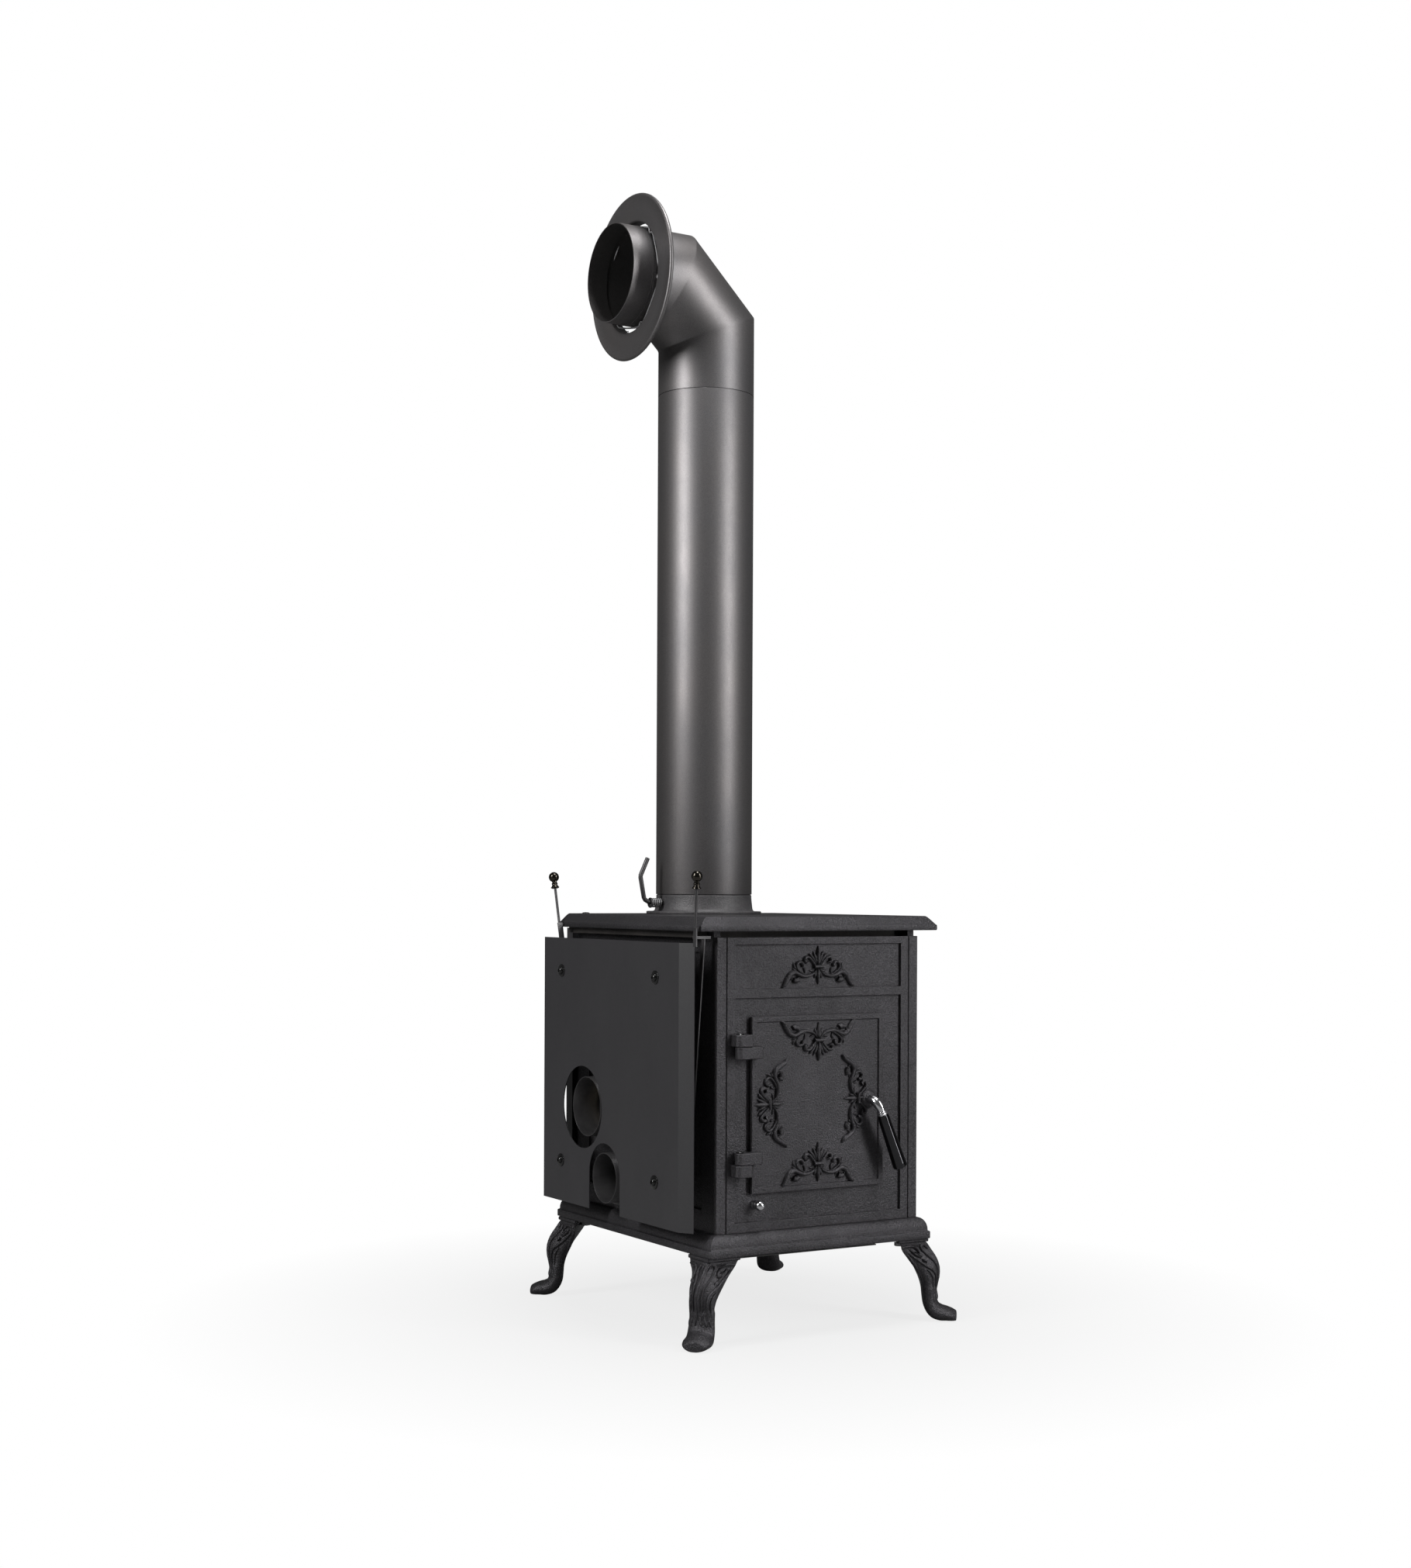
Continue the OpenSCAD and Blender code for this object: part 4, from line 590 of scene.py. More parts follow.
front_plan = stepped_plate(
    [-173, -157.8, -156.4, -143, -104, 96, 143, 156.4, 157.8, 173],
    [DECK, 167, 219.5, 443.5, 482.5, 495, 558, 568.5], front_depth, FRONT_BACK)
cast_plate("cast_front_plate", "stove_body", front_plan, ["front_plate"])


def door_depth(x, z):
    return DOOR_PANEL if inside(x, z, -109, 101, 214.5, 448.5) else DOOR_RIM


door_plan = stepped_plate([-117, -109, 101, 109], [206.5, 214.5, 448.5, 456.5], door_depth, DOOR_BACK)
cast_plate("cast_door", "door_group", door_plan, ["door"], 1.0)
piece("door_plug", "black_cast_iron", slab((-101.5, DOOR_BACK - 0.5, 222), (93.5, -211.2, 441)),
      smooth=30, body="door_group")
print("front plate and door")

# %% [markdown]
# ## Palmettes
#
# The ornament on the front is the traditional palmette: a fan of leaves bound by a band, between
# two scrolls that end in a curled foot. It is modelled once as a drawing of strokes. Each stroke
# is a path with a width that swells and tapers, and is raised into a rounded ridge on the plate,
# as a carver would raise it on the pattern for the mould.


# %% Strokes raised on a surface
def ridge(path, width, height, surface, across=8, steps=5, sink=0.7):
    """A rounded ridge along a path of (u, v) points. surface(u, v) gives a point and a normal."""
    line = smooth_path([(u, v, 0) for u, v in path], steps)
    rings = []
    for i, p in enumerate(line):
        t = i / (len(line) - 1)
        d = (line[min(len(line) - 1, i + 1)] - line[max(0, i - 1)]).normalized()
        side = Vector((-d.y, d.x, 0))
        w, h = width(t), height * min(1.0, 0.35 + width(t) / 4.0)
        ring = []
        for k in range(across + 1):
            a = math.pi * k / across
            q = p + side * (w * math.cos(a))
            base, normal = surface(q.x, q.y)
            ring.append(base + normal * (h * math.sin(a) - sink))
        rings.append(ring)
    return loft(rings, caps=True)


def leaf_width(most, peak=0.5, least=0.25):
    """Narrow at both ends, widest at peak."""
    def width(t):
        s = t / peak if t < peak else (1 - t) / (1 - peak)
        return least + (most - least) * math.sin(math.pi / 2 * max(0.0, min(1.0, s)))
    return width


def curl_width(start, end):
    """Grows along the way and ends round."""
    def width(t):
        w = start + (end - start) * t
        return w * math.sqrt(max(0.06, 1 - max(0.0, (t - 0.88) / 0.12) ** 2))
    return width


# The drawing's right half: path, width, height. The foot line is v = 0 and the tip is at v = 59.
PALMETTE = [
    ([(1.6, 31), (4.2, 41), (8.6, 51.5)], leaf_width(1.9, 0.6), 3.2),
    ([(3.0, 30), (7.0, 39), (12.5, 45.5), (15.5, 48)], leaf_width(1.9, 0.6), 3.2),
    ([(4.0, 29), (9.0, 36), (15, 42), (20.5, 42.5), (22.5, 38.5), (20.5, 35)], curl_width(1.3, 2.6), 3.8),
    ([(19.6, 36.4), (19.2, 35.2), (19.0, 34.6)], curl_width(2.9, 3.2), 4.2),
    ([(2.0, 25), (4.6, 17.5), (6.0, 12.5)], leaf_width(1.9, 0.5), 2.8),
    ([(2.5, 25.5), (8, 19.5), (15, 16.5), (24, 15.6), (32, 18.2), (39, 21.2), (46, 19.0), (51, 12.5),
      (56, 4.0), (60.5, 0.6)], leaf_width(3.1, 0.78, 0.9), 4.2),
    ([(4.5, 23.5), (10, 23), (15, 24.5)], leaf_width(1.5, 0.6), 2.4),
    ([(20, 16.8), (28, 20.5), (34.5, 25.5), (36.5, 31), (33.5, 35.5), (28.5, 35.5), (25.8, 32), (27, 28.8)],
     curl_width(1.1, 2.3), 3.8),
    ([(35, 24.5), (39.8, 29), (41.5, 35)], leaf_width(1.7, 0.55), 3.0),
    ([(31, 19.5), (38.5, 24.3), (43.6, 27.2)], leaf_width(1.5, 0.6), 2.6),
    ([(22.5, 17.6), (21.8, 24), (24.5, 27.8)], leaf_width(1.6, 0.7), 2.8),
    ([(33.5, 11.5), (37.5, 9.6), (42.5, 11.2)], curl_width(3.6, 3.0), 4.2),
    ([(28.5, 12.6), (31.5, 13.6), (34.5, 14.6)], leaf_width(1.4, 0.5), 2.6),
    ([(45.5, 18), (45.2, 12.8), (43.8, 10.6)], leaf_width(1.3, 0.4), 2.6),
]
MIDDLE = [
    ([(0, 29), (0, 38), (0, 48), (0, 59)], leaf_width(3.0, 0.45), 4.2),
    ([(0, 27), (0, 20), (0, 12), (0, 3.5)], leaf_width(2.7, 0.3), 3.8),
    ([(-7.2, 29), (0, 29.4), (7.2, 29)], lambda t: 2.3, 4.6),
]


def palmette(surface, bold=1.3, relief=1.6):
    """Both halves of the drawing, its strokes made bolder and their relief deeper."""
    strokes = MIDDLE + [([(s * u, v) for u, v in path], width, height)
                        for path, width, height in PALMETTE for s in (1, -1)]
    return joined([ridge(path, lambda t, w=width: bold * w(t), relief * height, surface)
                   for path, width, height in strokes])


def on_front(x, z, turn, y, scale_u=1.0, scale_v=1.0):
    """A drawing laid on an upright face that looks forwards, turned in its plane."""
    c, s = math.cos(math.radians(turn)), math.sin(math.radians(turn))

    def surface(u, v):
        u, v = u * scale_u, v * scale_v
        return Vector((x + u * c - v * s, y, z + u * s + v * c)), Vector((0, -1, 0))
    return surface


piece("front_palmette", "black_cast_iron", palmette(on_front(-2, 496.5, 0, PANEL, 1.02, 1.0)),
      smooth=60)
door_ornaments = [
    palmette(on_front(-4, 449.6, 180, DOOR_PANEL, 1.06, 1.0)),
    palmette(on_front(-4.5, 213.8, 0, DOOR_PANEL, 1.02, 1.02)),
    palmette(on_front(-58, 332, 90, DOOR_PANEL, 1.03, 1.0)),
    palmette(on_front(37, 334.5, -90, DOOR_PANEL, 1.05, 0.96)),
]
piece("door_palmettes", "black_cast_iron", joined(door_ornaments), smooth=60, body="door_group")
print("palmettes:", sum(len(v) for v, f in door_ornaments), "points on the door")

# %% [markdown]
# ## Hinges
#
# Each hinge has a lug cast on the front plate and a knuckle cast on the door, with one pin
# through both. Both are short thick blocks, drawn in plan and rounded at the outer corner.


# %% Lugs, knuckles and pins
HINGE_X, HINGE_Y = -141, -231


def thick_plan(plan, z0, z1):
    """An outline in plan made into a block."""
    n = len(plan)
    verts = [(x, y, z) for z in (z0, z1) for x, y in plan]
    faces = [list(range(n))[::-1], list(range(n, 2 * n))]
    return verts, faces + [[k, (k + 1) % n, n + (k + 1) % n, n + k] for k in range(n)]


lug_plan = ([(-149.5, -216.6)] + arc(-142.5, -233, 7, 180, 270, 7) + arc(-127, -237, 3, 270, 360, 4)
            + [(-124, -216.6)])
knuckle_plan = (arc(HINGE_X, HINGE_Y, 7, 90, 180, 7) + arc(HINGE_X, -233, 7, 180, 270, 7)
                + arc(-110, -237, 3, 270, 360, 4) + [(-107, -231), (-109, -224)])
for name, body, plan, lows in (("hinge_lugs", "stove_body", lug_plan, (415.5, 232.5)),
                               ("hinge_knuckles", "door_group", knuckle_plan, (398.1, 249.9))):
    blocks = joined([thick_plan(plan, z, z + 17) for z in lows])
    bevelled(piece(name, "black_cast_iron", blocks, smooth=34, body=body), 1.2)
pins = []
for z in (432.5, 267.3):
    pin = [(0, z - 34), (3.9, z - 34), (3.9, z), (5.6, z), (5.9, z + 0.5), (5.0, z + 1.5), (0, z + 1.8)]
    pins.append(turned(pin, (HINGE_X, HINGE_Y, 0), sides=28))
piece("turned_hinge_pins", "black_fixings", joined(pins), ["hinge_pins"], 34)
print("hinges placed")

# %% [markdown]
# ## Cabriole legs
#
# A cabriole leg bends out at the knee, in at the ankle and out again at the foot. It is lofted
# along that curve from cross-sections: a sharp corner under the base plate, growing rounder down
# to an oval ankle and a wedge-shaped foot. These legs splay mostly sideways, so the lower
# sections are also turned and shifted towards the stove's side. The carving sits in a shallow
# sunk panel on each face: an arris bead, a leaf, a scroll with a drop, and flutes at the ankle.

# %% The leg's surface
# Each station: middle outwards and up, tilt, half thickness, half width, sharpness of the corner,
# turn about the upright and shift towards the side.
STATIONS = [
    (-24, 117, 0, 18.6, 39.4, 0.92, 0, 5), (-24, 115.5, 0, 16.6, 37.2, 0.92, 0, 5),
    (-21, 105, 0, 19.2, 34.5, 0.9, 3, 8), (-14, 92, 0, 20.6, 31, 0.7, 8, 9.5),
    (-8, 78, 0, 19.2, 27.5, 0.5, 14, 11.5), (-4.5, 64, 0, 15.8, 24.5, 0.35, 18, 12.5),
    (-4, 50, 0, 12.3, 22, 0.2, 18, 13), (-4, 37, 5, 11, 21, 0.14, 16, 13),
    (-2, 25, 25, 11.4, 21.3, 0.12, 12, 13), (4, 15.5, 58, 12, 21.5, 0.1, 8, 12.8),
    (13, 11.5, 80, 11.6, 22, 0.1, 6, 12.6), (22.6, 10.3, 90, 10.4, 21.8, 0.1, 6, 13.4),
    (30.2, 8.8, 90, 9, 19.8, 0.1, 6, 14.1), (34.8, 7.7, 90, 7.6, 16, 0.1, 6, 14.5),
    (36.4, 7.3, 90, 6.6, 13.4, 0.1, 6, 14.5), (36.9, 7.2, 90, 4, 8, 0.1, 6, 14.6)]
STEPS, SIDES = 7, 96


def station(t):
    """Values between two stations, on a smooth curve. t runs from 0 to the last station's number."""
    i = min(int(t), len(STATIONS) - 2)
    rows = [STATIONS[max(0, min(len(STATIONS) - 1, k))] for k in (i - 1, i, i + 1, i + 2)]
    return [catmull_rom(*values, t - i) for values in zip(*rows)]


def leg_point(t, angle):
    """A point of the leg's skin: angle 0 is the outer corner, 180 the inner side."""
    out, up, tilt, half, wide, sharp, turn, slide = station(t)
    u = math.cos(math.radians(angle))
    side = (1 - sharp) * math.sqrt(max(0.0, 1 - u * u)) + sharp * (1 - u) / 2
    side *= 1 if angle % 360 <= 180 else -1
    w = wide * side
    h = half * (u - 0.06 * sharp * math.exp(-(((angle + 180) % 360 - 180) / 22) ** 2))
    d = h * math.cos(math.radians(tilt))
    c, s = math.cos(math.radians(turn)), math.sin(math.radians(turn))
    return Vector((out + d * c - w * s, slide + d * s + w * c,
                   max(0.0, up + h * math.sin(math.radians(tilt)))))


def leg_normal(t, angle):
    ds = leg_point(t, angle + 3) - leg_point(t, angle - 3)
    dd = leg_point(t + 0.04, angle) - leg_point(t - 0.04, angle)
    n = ds.cross(dd)
    n = n.normalized() if n.length > 1e-6 else Vector((1, 0, 0))
    here = station(t)
    return n if n.dot(leg_point(t, angle) - Vector((here[0], here[7], here[1]))) > 0 else -n


def arc_table(t):
    """Distances along the skin from the outer corner, one for every 4 degrees to the inner side."""
    points = [leg_point(t, 4 * k) for k in range(46)]
    total = [0.0]
    for a, b in zip(points, points[1:]):
        total.append(total[-1] + (b - a).length)
    return total


ARCS = [arc_table(min(k / 4, len(STATIONS) - 1.0)) for k in range(4 * len(STATIONS))]


def angle_at(t, u):
    """The angle whose distance from the outer corner along the skin is u millimetres."""
    table = ARCS[round(4 * t)]
    d = min(abs(u), table[-1] - 0.01)
    k = max(i for i in range(45) if table[i] <= d)
    return math.copysign(4 * (k + (d - table[k]) / max(1e-6, table[k + 1] - table[k])), u)


def fade(x, lo, hi, soft):
    """1 between lo and hi, falling to 0 over a soft edge."""
    return max(0.0, min(1.0, (x - lo) / soft, (hi - x) / soft))


def carved_point(t, angle):
    """The skin, with the sunk panel of each carved face."""
    signed = (angle + 180) % 360 - 180
    table = ARCS[round(4 * t)]
    across = table[min(45, int(abs(signed) / 4))]
    depth = 1.8 * fade(10 * t, 13, 62, 4) * fade(across, 2.4, 0.86 * table[-1], 2.5)
    p = leg_point(t, angle)
    return p - leg_normal(t, angle) * depth if depth > 0 else p


CARVING_LIFT, CARVING_SINK = 1.45, 2.4    # ridges stand taller than drawn, and are rooted in the panel


def leg_ridge(path, width, height):
    """A ridge on the leg. Its points are millimetres from the corner and tenths of a station."""
    def surface(u, v):
        t = max(0.05, min(len(STATIONS) - 1.1, v / 10))
        angle = angle_at(t, u)
        return leg_point(t, angle), leg_normal(t, angle)
    return ridge(path, width, CARVING_LIFT * height + CARVING_SINK, surface,
                 across=6, steps=5, sink=CARVING_SINK)


rows = [[carved_point(k / STEPS, 360 * i / SIDES) for i in range(SIDES)]
        for k in range(STEPS * (len(STATIONS) - 1) + 1)]
skin = loft(rows, caps=True)
carving = [leg_ridge([(0, 8), (0, 20), (0, 40), (0, 70)], leaf_width(2.2, 0.25, 0.9), 1.6)]
for s in (1, -1):
    for path, width, height in (
            # the leaf beside the arris bead
            ([(5, 19), (8, 14.5), (13, 15), (16, 19.5), (14, 27), (9.5, 34), (8, 44), (7.5, 62)],
             leaf_width(1.9, 0.35, 0.7), 1.4),
            # scroll under the shoulder, ending in a curl
            ([(47, 16), (38, 14.5), (29, 15), (23.5, 19.5), (24.5, 24.5), (28, 25.5), (30.5, 21.5)],
             curl_width(1.5, 2.3), 1.8),
            ([(36, 19), (33, 24), (28, 28.5)], leaf_width(2.4, 0.6, 0.6), 1.4),
            # the drop and the lower edge, which turns down into the outer flute
            ([(25.5, 30.5), (26.5, 32.5)], lambda t: 3.0, 2.0),
            ([(45, 20), (40, 27), (34, 33), (27, 38), (20, 42), (16, 50), (14.5, 68)],
             leaf_width(2.1, 0.4, 0.8), 1.5),
            ([(30, 41), (24.5, 46), (21.5, 54), (20, 68)], leaf_width(1.7, 0.5, 0.6), 1.1),
            # flutes at the ankle
            ([(3.5, 64), (4, 72), (5.5, 80)], leaf_width(2.6, 0.55, 0.8), 1.5),
            ([(10, 64), (11, 72), (12.5, 80)], leaf_width(2.5, 0.55, 0.8), 1.4),
            ([(16.5, 65), (17.5, 72), (19.5, 79)], leaf_width(2.3, 0.55, 0.8), 1.2)):
        carving.append(leg_ridge([(s * u, v) for u, v in path], width, height))


def top_band():
    """The lip under the base plate: a thick right angle, set back a little from the front."""
    c = math.cos(math.radians(45))
    plan = [(1, -6), (-53.5, -6), (-53.5, -13), (-46, -20), (-14, -52), (-7, -60), (1, -60)]
    return thick_plan([((x + y) * c, (x - y) * c) for x, y in plan][::-1], 116.4, LEG_TOP)


def at_corner(part, sx, sy):
    """Turns a leg's piece to its corner, mirrored so that every leg splays sideways."""
    turn = Matrix.Rotation(math.atan2(sy, sx), 4, "Z") @ Matrix.Diagonal((1, -sx * sy, 1, 1))
    move = Matrix.Translation((sx * BASE_X, sy * BASE_Y, 0)) @ turn
    return [move @ Vector(p) for p in part[0]], part[1]


leg_part = joined([skin] + carving)
for name, sx, sy in (("front_left_leg", -1, -1), ("front_right_leg", 1, -1),
                     ("rear_left_leg", -1, 1), ("rear_right_leg", 1, 1)):
    band = at_corner(top_band(), sx, sy)
    bevelled(piece(f"{name}_band", "black_cast_iron", band, smooth=34), 1.6)
    piece(f"carved_{name}", "black_cast_iron", at_corner(leg_part, sx, sy), [name], 60)
print("leg skin:", len(skin[0]), "points, ridges:", len(carving))

# %% [markdown]
# ## The flue
#
# The flue pipe is thick rolled steel, and the elbow is three pieces of the same pipe cut at a
# slant and welded. A ring of points set in each mitre plane gives those joints exactly, because
# both pipes share the same oval there. The open end is a trifle narrower, to enter a socket.


# %% Pipe, elbow and collar
FLUE_Y, FLUE_R = 106, 75
pipe_profile = ([(73.8, 628.3)] + arc(74.4, 628.9, 0.6, 270, 360, 3) + arc(74.4, 1405.2, 0.6, 0, 90, 3)
                + [(73.8, 1405.8), (73.8, 628.3)])
piece("flue_pipe_shell", "flue_paint", turned(pipe_profile, (0, FLUE_Y, 0), sides=128), ["flue_pipe"],
      30)


def mitred_tube(rows, wall, sides=128):
    """A pipe with slanted joints. Each row: a ring's x and z, the pipe's direction there, the
    normal of the ring's plane and the outer radius."""
    across = Vector((0, 1, 0))
    rings = []
    for inset, order in ((0, 1), (wall, -1)):
        for x, z, ahead, normal, r in rows[::order]:
            ahead, normal = Vector(ahead).normalized(), Vector(normal).normalized()
            spokes = circle(Vector(), across, ahead.cross(across), r - inset, sides)
            rings.append([Vector((x, FLUE_Y, z)) + q - ahead * (q.dot(normal) / ahead.dot(normal))
                          for q in spokes])
    return loft(rings, closed=True)


up, slant, left = (0, 0, 1), (-1, 0, 1), (-1, 0, 0)
cut1, cut2 = [(-math.sin(a), 0, math.cos(a)) for a in (math.radians(22.5), math.radians(67.5))]
ELBOW_Z = 1577                                         # height of the level end's axis
MOUTH_R = FLUE_R - 0.6
elbow_rows = [
    (0, 1406.4, up, up, FLUE_R), (0, 1407.2, up, up, FLUE_R), (0, 1503.6, up, cut1, FLUE_R),
    (-1, 1506, slant, cut1, FLUE_R), (-71, 1576, slant, cut2, FLUE_R),
    (-73.4, ELBOW_Z, left, cut2, FLUE_R), (-138, ELBOW_Z, left, left, FLUE_R),
    (-138, ELBOW_Z, left, left, MOUTH_R), (-170.3, ELBOW_Z, left, left, MOUTH_R),
    (-171, ELBOW_Z, left, left, MOUTH_R)]
piece("flue_elbow_shell", "flue_paint", mitred_tube(elbow_rows, 1.4), ["flue_elbow"], 24)
spigot = [(73.2, 1366), (73.2, 1409), (72.1, 1409), (72.1, 1366), (73.2, 1366)]
piece("flue_elbow_spigot", "flue_paint", turned(spigot, (0, FLUE_Y, 0), sides=96), smooth=30)

collar_profile = [(66, 598.2), (89.2, 598.2), (90, 599), (90, 601.2), (89.2, 602), (79.5, 602.2),
                  (77.4, 603.4), (76.4, 606), (75.2, 616), (74.5, 624), (74.6, 626.2), (74.0, 627.4),
                  (73.2, 627.8), (73.2, 662), (66, 662), (66, 598.2)]
piece("cast_flue_collar", "flue_collar_iron", turned(collar_profile, (0, FLUE_Y, 0), sides=128),
      ["flue_collar"], 40)
print("flue parts made")

# %% Wall rosette and its spring
RING_X, RING_Z = -136, ELBOW_Z - 2.2    # the disc's wall side; the rosette hangs a little on the pipe
rosette_profile = ([(83.2, 18.8), (83, 18.4), (83, 3.2)] + arc(86.2, 3.2, 3.2, 180, 270, 6)
                   + [(104, 0), (119, -0.3)] + arc(122.4, 2.2, 3.4, 250, 430, 9)
                   + [(121.6, 4.2), (119, 1.4), (104, 1.2)] + arc(86.2, 3.2, 2.0, 270, 180)
                   + [(84.2, 18.4), (84, 18.8), (83.2, 18.8)])
piece("rosette_disc", "flue_paint", turned(rosette_profile, (RING_X, FLUE_Y, RING_Z), (1, 0, 0), 128),
      ["wall_rosette"], 40, body="rosette_group")


def on_ring(r, a):
    """A point of the sprung ring's plane, at a radius and an angle about the pipe."""
    return RING_X + 5, FLUE_Y + r * math.cos(a), RING_Z + r * math.sin(a)


WIRE_R = 1.3
spring_path = [on_ring(r, math.radians(60 * k + 12) + da)
               for k in range(6) for da, r in ((-0.16, 79.6), (0.0, 76.6), (0.16, 79.6))]
spring_parts = [tube(smooth_path(spring_path + spring_path[:1], 5)[:-1], WIRE_R, 10, closed=True)]
spring_parts += [tube([on_ring(r, math.radians(120 * k + 42)) for r in (79.3, 81, 82.9)], WIRE_R, 10)
                 for k in range(3)]
piece("rosette_spring_wire", "steel_fixings", joined(spring_parts), ["rosette_spring_ring"], 60,
      body="rosette_group")
print("rosette and spring")

# %% [markdown]
# ## Damper
#
# A disc in the collar turns on a spindle. Outside, the spindle is bent up into a lever, and a
# coil spring keeps it where it is set. The spring follows a rule, so Geometry Nodes draw it: a
# spiral curve with a round wire profile.


# %% Spring by Geometry Nodes, and the bent lever
def painted(group, given, geometry):
    """The end of a Geometry Nodes tree: real geometry in the material given."""
    real = add(group, "GeometryNodeRealizeInstances", {"Geometry": geometry})
    paint = add(group, "GeometryNodeSetMaterial", {
        "Geometry": real.outputs["Geometry"], "Material": given["Material"]})
    add(group, "NodeGroupOutput", {"Geometry": paint.outputs["Geometry"]})
    return group


COIL = {"Coil radius": 0.0065, "Wire radius": 0.0009, "Length": 0.0155, "Turns": 4.5}


def spring_tree():
    group, given = new_group("coil_spring", "GeometryNodeTree", {**COIL, "Material": "Material"},
                             {"Geometry": "Geometry"})
    spiral = add(group, "GeometryNodeCurveSpiral", {
        "Resolution": 24, "Start Radius": given["Coil radius"], "End Radius": given["Coil radius"],
        "Height": given["Length"], "Rotations": given["Turns"]})
    wire = add(group, "GeometryNodeCurvePrimitiveCircle", {
        "Resolution": 10, "Radius": given["Wire radius"]})
    sweep = add(group, "GeometryNodeCurveToMesh", {
        "Curve": spiral.outputs["Curve"], "Profile Curve": wire.outputs["Curve"], "Fill Caps": True})
    return painted(group, given, sweep.outputs["Mesh"])


def grown(name, group, settings, body, slot, stands_for, place=Matrix.Identity(4), seeds=None):
    """Runs a Geometry Nodes tree once and keeps its result as a plain piece."""
    obj = placed(name, seeds or bpy.data.meshes.new(name))
    mod = obj.modifiers.new("grow", "NODES")
    mod.node_group = group
    sockets = {s.name: s.identifier for s in group.interface.items_tree if s.in_out == "INPUT"}
    for label, value in settings.items():
        mod[sockets[label]] = value
    mesh = evaluated(obj)
    bpy.data.objects.remove(obj)
    mesh.transform(place)
    mesh.name = name
    return dress(name, mesh, body, slot, stands_for, 50)


SPINDLE_Z = 615.1
coil_place = (Matrix.Translation((-0.0795, FLUE_Y * MM, SPINDLE_Z * MM))
              @ Matrix.Rotation(math.radians(-90), 4, "Y"))
coil = grown("damper_coil", spring_tree(), {**COIL, "Material": FINISH["dark_steel"]},
             "damper_group", "steel_fixings", ["damper_spring"], coil_place)
lever = [(x, FLUE_Y, SPINDLE_Z + rise) for x, rise in (
    (-92, 0), (-98, 0.6), (-105.4, 4.4), (-107.6, 7.6), (-113.6, 39), (-113.3, 42.5), (-101.2, 68.8))]
spindle_parts = [tube(lever, 3.5, 20)]
for profile in ([(0, -92), (3.9, -92), (3.9, 82), (3.2, 82.7), (0, 82.7)],
                [(4.0, 78), (5.6, 78), (6, 78.4), (6, 81.4), (5.6, 81.8), (4.0, 81.8), (4.0, 78)],
                [(4.0, -97.2), (7.6, -97.2), (8, -96.8), (8, -95.6), (7.6, -95.2), (4.0, -95.2),
                 (4.0, -97.2)]):
    spindle_parts.append(turned(profile, (0, FLUE_Y, SPINDLE_Z), (1, 0, 0), 28))
piece("damper_lever", "dark_steel", joined(spindle_parts), ["damper_spindle"], 40, body="damper_group")
print("damper: spring has", len(coil.data.vertices), "points")

# %% [markdown]
# ## Door handle
#
# A polished elbow comes out of a cast boss, turns down, and carries a ring and a smooth black
# grip. The elbow is a tube whose path has a tight bend. The grip is turned, with a little swell.

# %% Boss, chrome elbow, ring and grip
SPIN_X, SPIN_Z, BEND_Y = 82, 332.5, -249.5
BEND_R = 16.0
forwards = Vector((0, -1, 0))
lean = math.radians(22.5)
down = Vector((math.sin(lean), 0, -math.cos(lean)))
boss = turned([(15.5, 0), (15.0, 1.6), (13.2, 3.0), (11.4, 6.8), (10.6, 7.7), (9.6, 8.0), (5.4, 8.0),
               (5.4, 0), (15.5, 0)], (SPIN_X, -221.5, SPIN_Z), forwards, 48)
piece("handle_boss", "black_cast_iron", boss, smooth=34, body="door_group")
corner = Vector((SPIN_X, BEND_Y, SPIN_Z))
hub = corner - forwards * BEND_R + down * BEND_R
arm_path = [Vector((SPIN_X, -229.6, SPIN_Z))]
arm_path += [hub - down * BEND_R * math.cos(math.radians(a)) + forwards * BEND_R * math.sin(math.radians(a))
             for a in range(0, 91, 9)]
arm_path += [corner + down * d for d in (19, 23.5)]
arm = tube(arm_path, lambda t: 7.2 - 1.6 * max(0.0, (t - 0.5) / 0.5), 32)
spindle = turned([(0, 0), (4.9, 0), (4.9, -57), (3.9, -57.5), (3.9, -66), (0, -66.5)],
                 (SPIN_X, -234, SPIN_Z), forwards, 28)
piece("chrome_handle_elbow", "chrome_fittings", joined([arm, spindle]), ["handle_arm"], 50,
      body="handle_group")
ferrule = [(5.0, 17.0), (6.4, 17.0), (7.2, 17.6), (7.2, 18.6), (6.4, 19.2), (6.2, 20.2), (7.2, 20.6),
           (7.9, 21.2), (7.9, 22.6), (7.4, 23.3), (5.0, 23.3), (5.0, 17.0)]
piece("chrome_ferrule", "chrome_fittings", turned(ferrule, corner, down, 48), ["handle_ferrule"], 40,
      body="handle_group")
grip = ([(0, 23.2), (7.6, 23.2), (8.2, 23.7), (8.5, 26), (9.0, 45), (9.6, 68), (10.2, 88), (10.5, 98)]
        + arc(8.9, 105.2, 1.8, 0, 80) + [(6.0, 107), (0, 107.1)])
piece("black_grip", "gloss_grip", turned(grip, corner, down, 56), ["handle_grip"], 40,
      body="handle_group")

knob = [(0, 3), (6.9, 3), (7.1, 3.6), (6.6, 5.6), (5.5, 7.8), (5.2, 9.4), (5.6, 10.4), (5.6, 11.2),
        (5.0, 11.9)] + arc(0, 18.0, 7.2, -46, 90, 12)[:-1] + [(0, 25.2)]
piece("chrome_air_knob", "chrome_fittings", turned(knob, (-108, -214.2, 191), forwards, 48),
      ["air_knob"], 44, body="air_control")
print("handle placed")

# %% [markdown]
# ## Gate knobs and rods
#
# Each duct has a gate with a thin rod up to a small ball knob. The knobs are turned brass under
# black nickel: a flared foot, a waist, a bead and the ball. The upper rod hangs on a flat strap.

# %% Knobs and strap
KNOB_Z = 654


